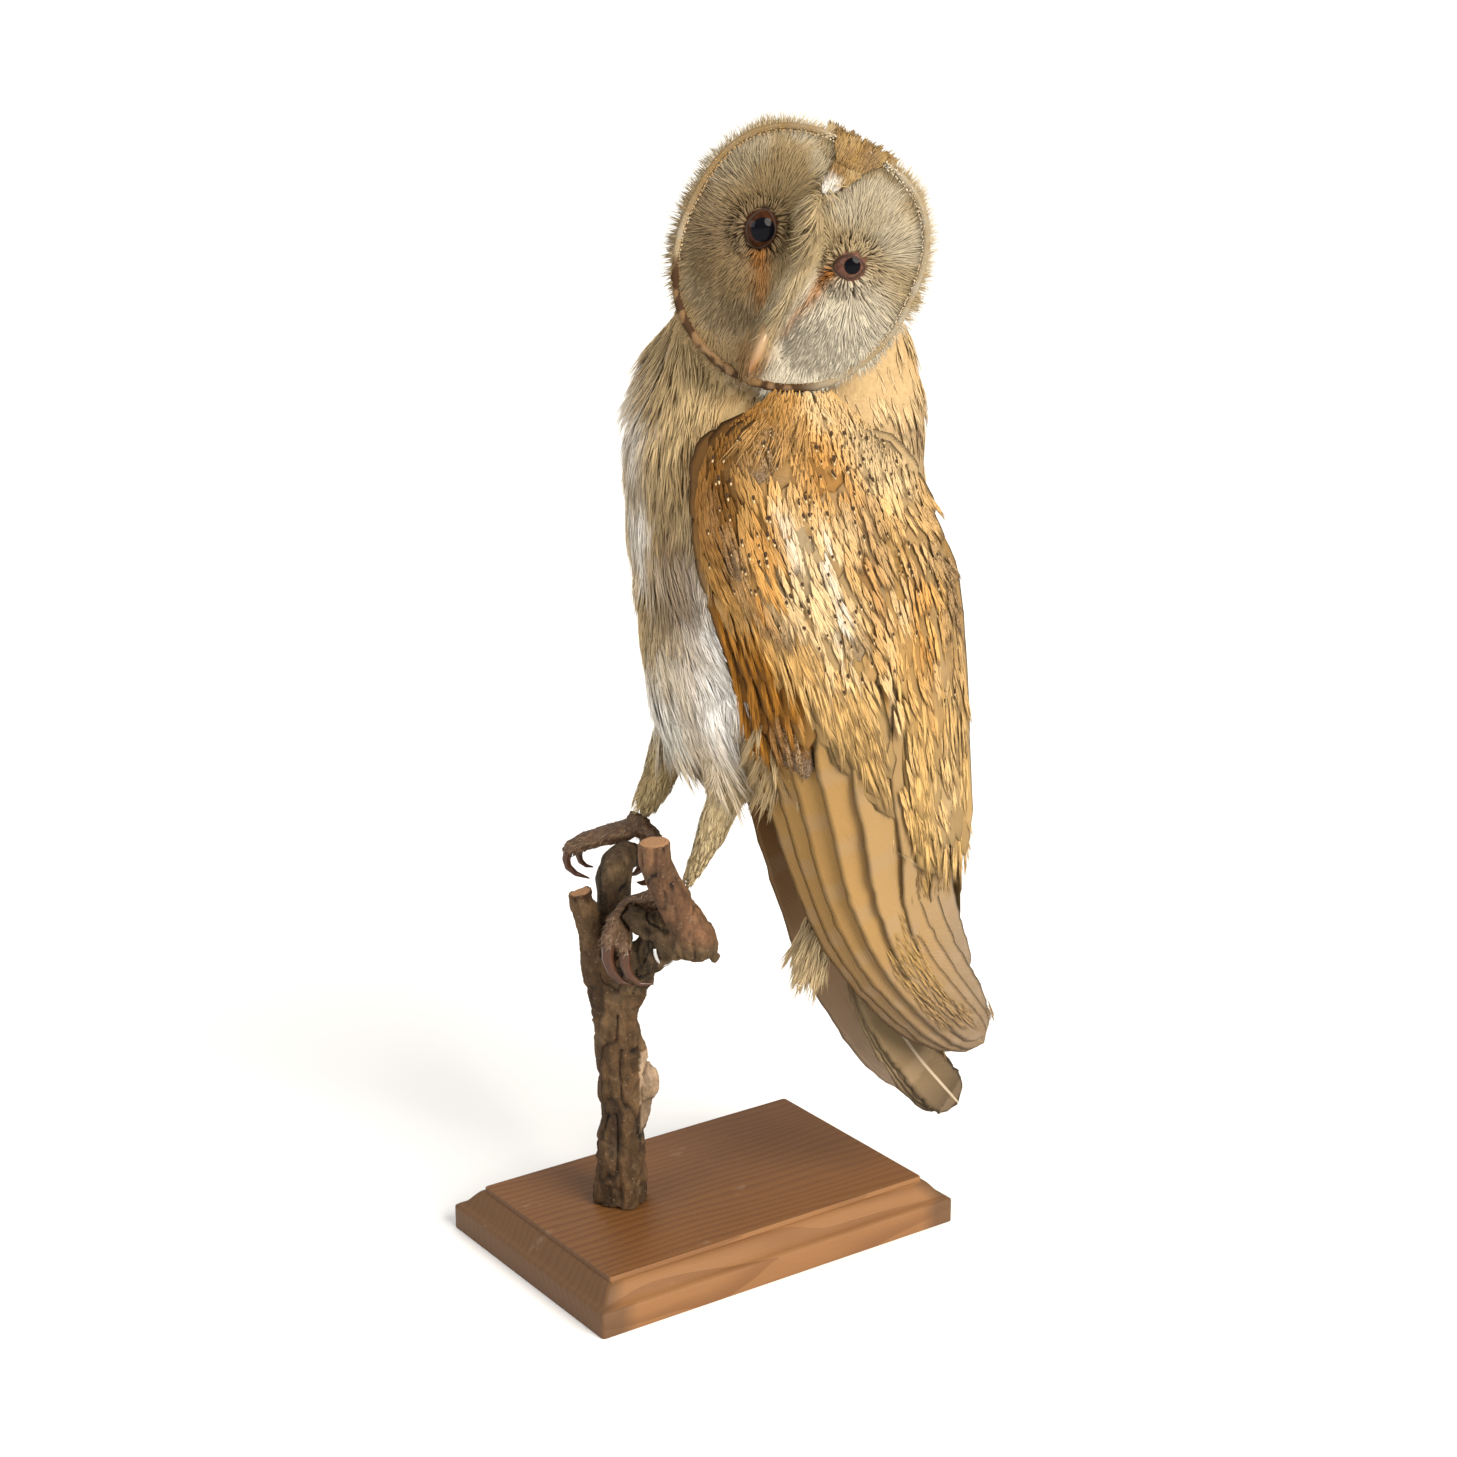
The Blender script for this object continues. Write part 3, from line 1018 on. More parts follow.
tuft_spread = [(40, 51), (-22, 2), (126, 137)]
tuft_root = np.stack([chance.uniform(low, high, TUFT_COUNT) for low, high in tuft_spread], -1)
tuft_way = unit(np.array([-0.22, 0.0, -1.0]) + chance.normal(0, 0.13, (TUFT_COUNT, 3)))
tuft_out = unit(np.cross(tuft_way, [0.25, 0.97, 0.0]) * -0.3 + np.array([-0.25, -0.9, 0.2]))
tuft_tint = varied(np.tile(TUFT_STRAW, (TUFT_COUNT, 1)), 0.8, 1.15)
tuft_along, tuft_long = laid(tuft_way, tuft_out), chance.uniform(*TUFT_LENGTH, TUFT_COUNT)
tuft = fans(tuft_root, tuft_along, tuft_out, tuft_long, 0.6, 0.22, 14, rise=0.08)
hang_feathers("undertail_tuft", tuft, body_unwrap(tuft_root), tuft_tint, ["undertail"])

# ---- face
# The facial disc: fine filaments that lie outwards from each eye over two dishes, with a paler ridge of
# them between the dishes down to the bill. Beige and greyish cream, stained orange below the eyes.

def crown_notch(x, z):
    """True in the wedge of crown feathers that comes down between the tops of the two dishes."""
    left = -2.4 - 6.0 * ramp(z, 34.0, 43.0)
    right = -2.4 + 9.5 * np.sqrt(np.maximum(z - 22.8, 0) / 10.0) + 5.0 * ramp(z, 35.0, 42.0)
    return (z > 22.8) & (x > left) & (x < right)


# half length and half width in mm, slant in degrees
EYE_OPENINGS = {"right": (6.6, 4.9, 100.0), "left": (5.1, 3.7, 22.0)}
FILAMENT_COUNT = 15500


def turned_by(x, z, angle):
    """Places or directions in the face's plane, turned anticlockwise by an angle."""
    return x * np.cos(angle) - z * np.sin(angle), x * np.sin(angle) + z * np.cos(angle)


def in_bird_frame(root, along, out):
    """A feather's root and its two directions, from the head's frame to the bird's."""
    return from_head(root), along @ HEAD_TURN.T, out @ HEAD_TURN.T


def face_unwrap(x, z):
    """A place on the face's unwrap, seen from straight ahead."""
    return np.stack([0.5 + x / 100.0, 0.5 + z / 100.0], -1)


def face_roots(count):
    """Places across and up the face, evenly spread inside the ruff and clear of the eyes and the notch."""
    x = chance.uniform(-DISC_HALF_WIDTH, DISC_HALF_WIDTH, count * 3)
    z = chance.uniform(-DISC_BOTTOM, DISC_TOP, count * 3)
    good = (reach_of(x, z) < 0.97) & ~crown_notch(x, z)
    for word, (ex, ez) in EYES.items():
        long, short, slant = EYE_OPENINGS[word]
        over, up = turned_by(x - ex, z - ez, -math.radians(slant))
        good &= np.hypot(over / (long + 0.5), up / (short + 0.5)) > 1
    return x[good][:count], z[good][:count]


FACE_BEIGE = np.array([0.52, 0.395, 0.22])
FACE_PALE = np.array([0.80, 0.73, 0.585])
FACE_SHADE = np.array([0.25, 0.165, 0.085])
FACE_STAIN = np.array([0.50, 0.19, 0.035])
DISH_SHADE = np.array([0.36, 0.40, 0.48])
FACE_PATCHES = [  # colour, strength, centre and size across and up, mm
    (FACE_SHADE * 0.80, 0.90, (-26.0, -2.0), (11.0, 15.0)),
    (FACE_SHADE, 0.75, (-12.0, -22.0), (9.0, 12.0)),
    (FACE_PALE * 0.8, 0.5, (-35.0, 14.0), (5.0, 9.0)),
]
EYE_SHADES = {"right": 0.50, "left": 0.10}
STAINS = [  # from, to, width, fading
    ((-13.5, -2.0), (-7.5, -11.0), 2.5, 0.5),
    ((13.4, 1.6), (5.5, -21.0), 2.1, 0.75),
]


def face_tint(x, z):
    """The filaments' colour by place on the face."""
    flat = np.stack([x, z, np.zeros_like(x)], -1)
    cloud = drift(flat, 9.0, 41)
    aside = off_ridge(x, z)
    tint = blend(np.tile(FACE_BEIGE, (len(x), 1)), FACE_PALE, 0.5 * ramp(cloud, 0.35, 0.8))
    tint = blend(tint, FACE_PALE, 0.9 * ramp(aside, 1.0, 7.0) * ramp(z, 6.0, -9.0))
    tint = tint * (1 - DISH_SHADE * ramp(aside, 0.5, -6.0)[:, None] * ramp(z, 36.0, 14.0)[:, None])
    for colour, strength, centre, size in FACE_PATCHES:
        tint = blend(tint, colour, strength * soft_patch(x, z, centre, size))
    tint = blend(tint, FACE_BEIGE * 1.15, 0.8 * np.exp(-((aside / 2.6) ** 2)) * ramp(z, -40, -30))
    for word, depth in EYE_SHADES.items():
        ex, ez = EYES[word]
        ring = np.exp(-((np.maximum(np.hypot(x - ex, z - ez) - 5.0, 0) / 4.6) ** 2))
        tint = blend(tint, FACE_SHADE, ring * depth)
    for start, end, width, fading in STAINS:
        run = np.array(end) - np.array(start)
        share = np.clip(((x - start[0]) * run[0] + (z - start[1]) * run[1]) / (run @ run), 0, 1)
        away = np.hypot(x - start[0] - share * run[0], z - start[1] - share * run[1])
        streak = np.exp(-((away / width) ** 2)) * (1 - fading * share)
        tint = blend(tint, FACE_STAIN, np.clip(streak * (0.65 + 0.7 * cloud), 0, 0.95))
    under_bill = np.exp(-((np.hypot(x - 1.0, (z + 33.0) * 0.7) / 5.0) ** 2))
    return blend(tint, FACE_STAIN * 1.25, under_bill * 0.45)


filament = Finish("face_filaments", Roughness=0.75, Specular_IOR_Level=0.15)
filament_grain = filament.noise(filament.place(), 2200.0, 2.0)
filament.give(
    Base_Color=filament.mix(filament_grain * 0.3, filament.painted("tint"), (0.66, 0.6, 0.52), "MULTIPLY")
)
for word, (ex, ez) in EYES.items():
    x, z = face_roots(FILAMENT_COUNT)
    own = (off_ridge(x, z) > 0) == (ex > 0)
    x, z = x[own], z[own]
    away = np.stack([x - ex, z - ez], -1)
    reach = np.linalg.norm(away, axis=-1)
    away = away / reach[:, None]
    aside = off_ridge(x, z)
    beside = np.exp(-((aside / 6.0) ** 2)) * ramp(z, 34, 22)
    down_ridge = np.stack([0.2 * np.sign(aside), np.full(len(x), -1.0)], -1)
    flow = unit(away * (1 - 0.8 * beside[:, None]) + down_ridge * (0.9 * beside[:, None]))
    waver = 0.9 * (drift(np.stack([x, z, x * 0], -1), 7.0, 42) - 0.5) + chance.normal(0, 0.09, len(x))
    way_x, way_z = turned_by(flow[:, 0], flow[:, 1], waver)
    out = face_normal(x, z)
    along = laid(np.stack([way_x, np.zeros(len(x)), way_z], -1), out)
    from_eye = np.minimum(np.hypot(x - ex, z - ez), EYE_RADIUS * 0.97)
    before_eye = EYE_DEPTH - np.sqrt(EYE_RADIUS**2 - from_eye**2) + 0.2 - 1.2 * ramp(reach, 6.8, 7.6)
    before_eye += 4.0 * ramp(reach, 8.0, 12.0)
    root = np.stack([x, np.minimum(face_depth(x, z) + FACE_COAT - 0.4, before_eye), z], -1)
    long = (3.4 + 7.1 * ramp(reach, 6, 16)) * chance.uniform(0.8, 1.2, len(x))
    long *= 0.35 + 0.65 * ramp(0.97 - reach_of(x, z), 0.0, 0.15)
    into_notch = crown_notch(x + way_x * long * 0.8, z + way_z * long * 0.8)
    long = np.where(into_notch, long * 0.4, long)
    rise = chance.uniform(0.03, 0.15, len(x)) - 0.40 * ramp(reach, 7.4, 6.2)
    bend = chance.normal(0, 0.09, len(x)) + 0.5 * (drift(np.stack([x, z, x * 0], -1), 5.0, 43) - 0.5)
    thick = chance.uniform(0.40, 0.62, len(x)) * (1 + 0.5 * ramp(reach, 9.0, 6.0))
    points, t = spikes(*in_bird_frame(root, along, out), long, thick, rise, bend)
    tint = face_tint(x, z) * 0.77 * chance.uniform(0.88, 1.1, (len(x), 1))
    colour = tint[:, None] * (0.86 + 0.16 * t[None, :, None])
    solid(f"face_filaments_{word}", world(points), spike_faces(len(x)), filament,
          ["facial_disc"], maps={"OFBake": spike_unwrap(face_unwrap(x, z), t, 0.3)},
          paint={"tint": colour.reshape(-1, 3)})

# ---- ruff
# The narrow rope of small stiff feathers round the face: cream-gold above and on the right, dark brown
# tips round the chin. The wedge of golden crown feathers between the dishes is made with it.


def outline_radius(turn):
    """The head outline's radius at an angle from the crown."""
    return 1.0 / reach_of(np.sin(turn), np.cos(turn))


def ruff_colour(turn, place):
    """Cream-gold round the ruff, browner at the top left, and the share of dark dashes round the chin."""
    tint = blend(np.tile(PALE_GOLD * 0.95, (len(turn), 1)), FACE_PALE, 0.8 * drift(place, 3.0, 47))
    tint = blend(tint, GOLD * 0.6, 0.75 * ramp(-turn, 0.1, 0.5) * ramp(-turn, 1.9, 1.4))
    chin = ramp(-turn, 1.9, 2.1) + ramp(turn, 2.45, 2.75)
    return blend(tint, ORANGE * 0.7, 0.75 * chin), chin * ramp(drift(place, 2.6, 48), 0.30, 0.48)


def ruff_line(turn, share):
    """A place on the face's edge, drawn in a little at the chin, and the way straight out from the middle."""
    far = outline_radius(turn) * share * (1 - 0.035 * ramp(np.abs(turn), 2.3, 3.0))
    radial = np.stack([np.sin(turn), np.zeros_like(turn), np.cos(turn)], -1)
    return np.stack([far * np.sin(turn), np.full_like(turn, -35.0), far * np.cos(turn)], -1), radial


ROPE_STEPS, ROPE_SIDES, RUFF_STEPS = 480, 12, 260
RUFF_DARK = np.array([0.035, 0.016, 0.007])
rope_turn = np.linspace(-math.pi, math.pi, ROPE_STEPS, endpoint=False)
rope_middle, rope_radial = ruff_line(rope_turn, 0.972)
round_rope = circle(ROPE_SIDES)[None, :, None]
rope_size = 1.15 * (0.78 + 0.44 * drift(rope_middle, 1.8, 46))
rope_chin = ramp(-rope_turn, 1.9, 2.2) + ramp(rope_turn, 2.3, 2.6)
rope_size = rope_size * (1 + 0.35 * rope_chin)
rope_size = rope_size * (1 - 0.6 * ramp(rope_turn, -0.25, -0.1) * ramp(rope_turn, 0.5, 0.35))
rope = rope_radial[:, None] * np.cos(round_rope) + np.array([0.0, -1.0, 0.0]) * np.sin(round_rope)
rope = (rope_middle[:, None] + rope * rope_size[:, None, None]).reshape(-1, 3)
rope_tint, rope_dark = ruff_colour(np.repeat(rope_turn, ROPE_SIDES), rope)
solid("ruff_rope", world(from_head(rope)), loop_faces(ROPE_STEPS, ROPE_SIDES), down, ["facial_disc"],
      maps={"OFBake": face_unwrap(rope[:, 0], rope[:, 2])},
      paint={"tint": blend(rope_tint * 0.4, RUFF_DARK, rope_dark * 0.9)})

ruff_steps = np.linspace(-math.pi, math.pi, RUFF_STEPS, endpoint=False)
ruff_turn, ruff_share = np.meshgrid(ruff_steps, [0.955, 0.975, 0.992])
ruff_turn = (ruff_turn + chance.uniform(0, 0.025, ruff_turn.shape)).ravel()
ruff_share = (ruff_share + chance.normal(0, 0.003, ruff_share.shape)).ravel()
ruff_root, radial = ruff_line(ruff_turn, ruff_share)
ruff_root = ruff_root - radial * 0.9 - np.array([0.0, 1.3, 0.0])
ruff_out = unit(radial * 0.9 + np.array([0.0, -0.45, 0.0]))
ruff_lean = np.array([0.0, 0.9, 0.0]) + chance.normal(0, 0.2, radial.shape)
ruff_along = laid(radial * 0.25 + ruff_lean, ruff_out)
ruff_tint, ruff_dark = ruff_colour(ruff_turn, ruff_root)
ruff_dark = ruff_dark * np.where(ruff_share > 0.97, 1.0, 0.3)
ruff_tint = varied(blend(ruff_tint, DARK * 1.6, 0.8 * ruff_dark), 0.9, 1.12)
ruff_tips = blend(ruff_tint, DARK * 1.6, 0.85 * ruff_dark)
ruff_long = chance.uniform(1.5, 2.1, len(ruff_turn))
ruff = fans(*in_bird_frame(ruff_root, ruff_along, ruff_out), ruff_long, 0.6, 0.5, 5, rise=0.05, curl=0.6)
hang_feathers("ruff_feathers", ruff, face_unwrap(ruff_root[:, 0], ruff_root[:, 2]), ruff_tint,
              ["facial_disc", "cranium"], ruff_tips)

NOTCH_TRIES, NOTCH_COUNT = 4000, 420
notch_x, notch_z = chance.uniform(-12, 20, NOTCH_TRIES), chance.uniform(21, 43, NOTCH_TRIES)
inside = crown_notch(notch_x, notch_z - 1.0) & (reach_of(notch_x, notch_z) < 0.97)
notch_x, notch_z = notch_x[inside][:NOTCH_COUNT], notch_z[inside][:NOTCH_COUNT]
notch_out = face_normal(notch_x, notch_z)
notch_root = np.stack([notch_x, face_depth(notch_x, notch_z) + 0.3, notch_z], -1)
sweep = np.tile([0.0, 0.0, 1.0], (len(notch_x), 1))
sweep[:, 0] = 0.25 * notch_x / 8.0
notch_along = laid(sweep, notch_out)
notch_tint = blend(np.tile(GOLD * 0.56, (len(notch_x), 1)), PALE_GOLD * 0.7, drift(notch_root, 4.0, 44))
notch_tint = blend(notch_tint, GREY_BROWN * 1.2, 0.7 * ramp(drift(notch_root, 3.0, 45), 0.5, 0.75))
notch_tint = notch_tint * np.array([0.84, 0.80, 0.70])
notch_tint = blend(notch_tint, WHITE * 0.8, ramp(notch_z, 28.0, 24.5))
notch_long = chance.uniform(5.0, 7.5, len(notch_x))
notch = fans(*in_bird_frame(notch_root, notch_along, notch_out), notch_long, 0.6, 0.5, 7, rise=0.2)
notch_tips = speckle(notch_tint, 0.15, 0.8)
hang_feathers("notch_feathers", notch, face_unwrap(notch_x, notch_z), notch_tint, ["facial_disc"],
              notch_tips)

# ---- eyes
# Glass eyes set deep in the dishes: dark brown in the right eye, a pinker iris round a blue-black pupil in
# the left. Thin dark lids close round each to an almond opening.

EYE_LOOKS = {  # pupil and iris radii in mm, iris colour, gaze across and up
    "right": (4.2, 6.5, (0.040, 0.014, 0.006), (0.10, 0.04)),
    "left": (2.9, 5.4, (0.125, 0.058, 0.040), (0.12, 0.12)),
}
LID_SECTION = np.array([  # outwards from the opening's edge, forwards of the eyeball
    (0.0, -0.5), (-0.1, 0.1), (0.1, 0.3), (0.35, 0.25), (0.7, 0.0), (1.1, -0.7), (0.7, -1.3),
])
EYE_ROWS_BEFORE, EYE_ROWS_BEHIND, EYE_SIDES, LID_STEPS = 60, 20, 64, 72
PUPIL_BLACK, EYE_RIM = np.array([0.003, 0.003, 0.005]), np.array([0.20, 0.14, 0.08])
LID_POINT = 1.7  # power of the opening's outline: 2 is an ellipse, 1 a lozenge
glass = Finish("eye_glass", Roughness=0.07, Specular_IOR_Level=0.09)
glass_fleck = glass.noise(glass.place(), 2600.0, 2.0)
glass.give(Base_Color=glass.mix(glass_fleck * 0.5, glass.painted("tint"), (0.55, 0.5, 0.5), "MULTIPLY"))
lid_skin = Finish("lid_skin", Roughness=0.55, Specular_IOR_Level=0.4)
lid_wrinkle = lid_skin.noise(lid_skin.place(), 1800.0, 3.0)
lid_skin.give(Base_Color=lid_skin.mix(lid_wrinkle, (0.022, 0.011, 0.007), (0.05, 0.024, 0.014)))
lid_skin.bump(lid_wrinkle, 0.0002)
for word, (pupil, iris, iris_colour, gaze) in EYE_LOOKS.items():
    ex, ez = EYES[word]
    aim = unit(np.array([gaze[0], -1.0, gaze[1]]))
    across = unit(np.cross(aim, [0.0, 0.0, 1.0]))
    up = np.cross(across, aim)
    before = np.linspace(0.01, 1.1, EYE_ROWS_BEFORE)
    tilt = np.concatenate([before, np.linspace(1.16, math.pi - 0.02, EYE_ROWS_BEHIND)])[:, None]
    turn = circle(EYE_SIDES)[None, :]
    ball = (np.cos(tilt)[..., None] * aim + (np.sin(tilt) * np.cos(turn))[..., None] * across
            + (np.sin(tilt) * np.sin(turn))[..., None] * up)
    off_axis = EYE_RADIUS * np.sin(np.minimum(tilt, math.pi / 2)) + 0 * turn
    spokes = np.broadcast_arrays(np.cos(turn) * 5, np.sin(turn) * 5, off_axis * 0.6)
    streaks = drift(np.stack(spokes, -1), 0.7, 51)
    tint = np.array(iris_colour) * (0.6 + 0.7 * streaks[..., None])
    tint = blend(PUPIL_BLACK + 0 * tint, tint, ramp(off_axis, pupil - 0.15, pupil + 0.2))
    tint = blend(tint, EYE_RIM, ramp(off_axis, iris + 0.1, iris + 0.5))
    tint[tilt[:, 0] > 1.7] = 0.02
    place = from_head(np.array([ex, EYE_DEPTH, ez]) + EYE_RADIUS * ball)
    solid(f"glass_eye_{word}", world(place), ring_faces(len(tilt), EYE_SIDES), glass,
          [f"eye_{word}"], paint={"tint": tint.reshape(-1, 3)})

    long, short, slant = EYE_OPENINGS[word]
    turn = circle(LID_STEPS)
    lean = math.radians(slant)
    pointed = 1.0 / (np.abs(np.cos(turn)) ** LID_POINT + np.abs(np.sin(turn)) ** LID_POINT) ** (1 / LID_POINT)
    edge = np.stack([long * pointed * np.cos(turn), short * pointed * np.sin(turn)], -1)
    edge = edge @ np.array([[math.cos(lean), math.sin(lean)], [-math.sin(lean), math.cos(lean)]])
    outwards = unit(edge)
    flat = edge[:, None] + outwards[:, None] * LID_SECTION[None, :, :1]
    far = np.linalg.norm(flat, axis=-1)
    bound = 0.93 * EYE_RADIUS
    over = np.sqrt(EYE_RADIUS**2 - np.minimum(far, bound) ** 2) - 0.7 * np.maximum(far - bound, 0)
    depth = EYE_DEPTH - over - LID_SECTION[None, :, 1]
    lid = from_head(np.stack([ex + flat[..., 0], depth, ez + flat[..., 1]], -1))
    lids = solid(f"eyelids_{word}", world(lid), loop_faces(LID_STEPS, len(LID_SECTION)),
                 lid_skin, ["facial_disc"])
    rounding = lids.modifiers.new("rounding", "SUBSURF")
    rounding.levels = rounding.render_levels = 1

# ---- bill
# The bill of pale pinkish horn, hooked down at the tip, deep in the filaments so that only its lower half
# shows.

BILL_STATIONS = np.array([  # across, own Y, up, half width, half depth
    (0.0, -36.0, -24.5, 2.0, 3.0),
    (0.2, -42.0, -28.0, 2.2, 3.2),
    (0.4, -44.4, -32.0, 2.0, 2.8),
    (0.6, -45.0, -35.5, 1.7, 2.2),
    (0.8, -44.3, -38.6, 1.2, 1.4),
    (1.0, -42.9, -41.6, 0.35, 0.45),
])
BILL_ROWS, BILL_SIDES = 40, 28
bill_rows = along_rows(BILL_STATIONS, np.linspace(0, 1, BILL_ROWS))
bill_path = bill_rows[:, :3]
bill_way = unit(np.gradient(bill_path, axis=0))
bill_front = unit(np.cross(bill_way, [1.0, 0.0, 0.0]))
turn = circle(BILL_SIDES)
crest = 1.0 + 0.12 * np.maximum(np.sin(turn), 0) ** 3
bill_points = (
    bill_path[:, None]
    + (bill_rows[:, 3:4] * np.cos(turn))[..., None] * np.array([1.0, 0.0, 0.0])
    + (bill_rows[:, 4:5] * np.sin(turn) * crest)[..., None] * bill_front[:, None]
)
bill_share = np.repeat(np.linspace(0, 1, BILL_ROWS), BILL_SIDES)
bill_tint = np.tile([0.36, 0.23, 0.115], (len(bill_share), 1))
bill_tint = blend(bill_tint, np.array([0.34, 0.165, 0.055]), ramp(bill_share, 0.35, 0.85))
bill_tint = blend(bill_tint, np.array([0.42, 0.25, 0.15]), ramp(bill_share, 0.9, 1.0))
horn = Finish("bill_horn", Roughness=0.38, Specular_IOR_Level=0.5, Coat_Weight=0.2)
horn_streak = horn.noise(horn.place(stretch=(1.0, 1.0, 0.3)), 1500.0, 3.0)
horn.give(Base_Color=horn.mix(horn_streak * 0.5, horn.painted("tint"), (0.75, 0.62, 0.5), "MULTIPLY"))
horn.bump(horn_streak, 0.00012)
solid("hooked_bill", world(from_head(bill_points)), ring_faces(BILL_ROWS, BILL_SIDES), horn,
      ["bill"], paint={"tint": bill_tint})

# ---- wing coverts
# Rows of soft overlapping vanes over the stuffed wings with loose barbs on them: golden buff, clouded with
# fine grey speckling, deeper orange at the wrist. Small dark spots with pale flecks are scattered over them.

VANE_COLUMNS, COVERT_ROWS = 5, 9
WING_SPAN = 300.0  # length of the folded wing, mm
WISP_COUNTS = {"left": 1900, "right": 820}
SPOT_COUNT = 150


def vane_faces(count, rows, columns):
    """Faces of closed thin blades: rings of the upper face and back along the lower, capped at both ends."""
    around = 2 * columns - 2
    i, j = np.meshgrid(np.arange(rows - 1), np.arange(around), indexing="ij")
    k = (j + 1) % around
    near, far = i * around, (i + 1) * around
    quads = np.stack([near + j, far + j, far + k, near + k], -1).reshape(-1, 4)
    middle = np.arange(1, columns - 2)
    strip = np.stack([middle, middle + 1, around - middle - 1, around - middle], -1)
    corners = np.array([(0, 1, around - 1), (columns - 2, columns - 1, columns)])
    last = (rows - 1) * around
    quads = np.concatenate([quads, strip, (strip + last)[:, ::-1]])
    triangles = np.concatenate([corners, (corners + last)[:, ::-1]])
    step = (np.arange(count) * rows * around)[:, None, None]
    return [(quads + step).reshape(-1, 4), (triangles + step).reshape(-1, 3)]


def blades(centre, out, half_width, columns, thickness, camber, ragged):
    """Vanes from their shafts: at each step along, points across from one edge to the other and back under.

    The vane falls away from the shaft by camber * s * s of its half width, and is thickest at the shaft.
    Its edges are ragged by that share of the half width across, and six times as many mm along.
    Returns points (vanes, rows, around, 3) and the share s across at each point of a ring.
    """
    way = unit(np.gradient(centre, axis=1))
    side = unit(np.cross(out, way))
    up = np.cross(way, side)
    s = np.linspace(-1, 1, columns)
    s = np.concatenate([s, s[-2:0:-1]])
    sheet = np.concatenate([np.full(columns, 0.5), np.full(columns - 2, -0.5)])
    wide = half_width[..., None] * np.ones_like(s)
    edge = np.abs(s) > 0.99
    wide = wide * np.where(edge, 1 + chance.normal(0, ragged, wide.shape), 1.0)
    slip = np.where(edge, chance.normal(0, ragged * 6.0, wide.shape), 0.0)
    height = -camber * s**2 * wide + thickness * sheet * (1 - s**2)
    points = centre[:, :, None]
    for direction, amount in ((side, s * wide), (up, height), (way, slip)):
        points = points + direction[:, :, None] * amount[..., None]
    return points, s


def vane_outline(t, tip=0.8, root=0.25):
    """Half width along a feather as a share of its widest: narrow at the root, full, then a round tip."""
    round_tip = np.sqrt(np.clip(1 - (np.clip(t - tip, 0, 1) / (1 - tip)) ** 2, 0.0, 1))
    return np.maximum((0.35 + 0.65 * ramp(t, 0.0, root)) * round_tip, 0.06)


def vane_axes(finish):
    """The vane's own map in a material: the place along its shaft and the distance from it, in decimetres."""
    own_map = finish.node("ShaderNodeUVMap", {"uv_map": "vane"})
    aside = finish.node("ShaderNodeSeparateXYZ", None, {0: own_map})
    along = finish.node("ShaderNodeSeparateXYZ", None, {0: own_map}, output=1)
    return along, finish.node("ShaderNodeMath", {"operation": "ABSOLUTE"}, {0: aside})


def sine(finish, value):
    """The sine of a number in a material."""
    return finish.node("ShaderNodeMath", {"operation": "SINE"}, {0: value})


vane = Finish("feather_vane", Roughness=0.7, Specular_IOR_Level=0.15)
vane_up, from_shaft = vane_axes(vane)
barb_wave = sine(vane, (vane_up - from_shaft * 1.3) * 900.0)
barb_noise = vane.noise(vane.place(), 1300.0, 4.0, 0.65)
barb_line = vane.step(barb_wave + barb_noise * 1.6, -0.2, 1.6)
speck = vane.noise(vane.place(), 1500.0, 3.0, 0.75)
speck_broad = vane.noise(vane.place(), 420.0, 3.0, 0.6)
grey = vane.painted("grey", 2)
vermiculated = vane.mix(vane.step(speck, 0.44, 0.60), (0.12, 0.075, 0.045), (0.32, 0.235, 0.155))
vane_colour = vane.mix(barb_line * 0.30, vane.painted("tint"), (0.52, 0.40, 0.28), "MULTIPLY")
vane_colour = vane.mix(grey * vane.step(speck_broad + grey * 0.25, 0.40, 0.66), vane_colour, vermiculated)
vane.give(Base_Color=vane_colour, Roughness=0.55 + barb_noise * 0.25)
vane.bump(barb_line + barb_noise * 0.6, 0.00016)


def lay_vanes(name, centre, out, half_width, length, tint, tips, grey, pale_shaft, unwrap, finish, nodes,
              columns=VANE_COLUMNS, thickness=0.3, camber=0.14, ragged=0.05):
    """One coat piece of vanes, with their own map in decimetres, their markings and their patches."""
    points, s = blades(centre, out, half_width, columns, thickness, camber, ragged)
    count, rows, around = points.shape[:3]
    t = np.linspace(0, 1, rows)[None, :, None]
    ones = np.ones((count, rows, around))
    sideways = s * half_width[..., None] * ones
    own_map = np.stack([sideways / 100, t * length[:, None, None] / 100 * ones], -1)
    patch = unwrap[:, None, None] + PATCH * np.stack([s * 0.5 * ones, (t - 0.5) * ones], -1)
    near, far = (part[:, None, None] * ones[..., None] for part in (tint, tips))
    colour = blend(near, far, t**2 * ones)
    colour = colour * (0.80 + 0.20 * ramp(t, 0.0, 0.5) * ones)[..., None]
    cloud = grey[:, None, None] * ramp(t, 0.45, 0.85) * ones
    return solid(name, world(points), vane_faces(count, rows, columns), finish, nodes,
                 maps={"OFBake": patch.reshape(-1, 2), "vane": own_map.reshape(-1, 2)},
                 paint={"tint": colour.reshape(-1, 3), "shaft": (pale_shaft * ones).ravel(),
                        "grey": cloud.ravel()})


def wing_unwrap(along, across):
    """A place on the wings' unwrap."""
    return np.stack([0.05 + 0.9 * across, 0.05 + 0.9 * along], -1)


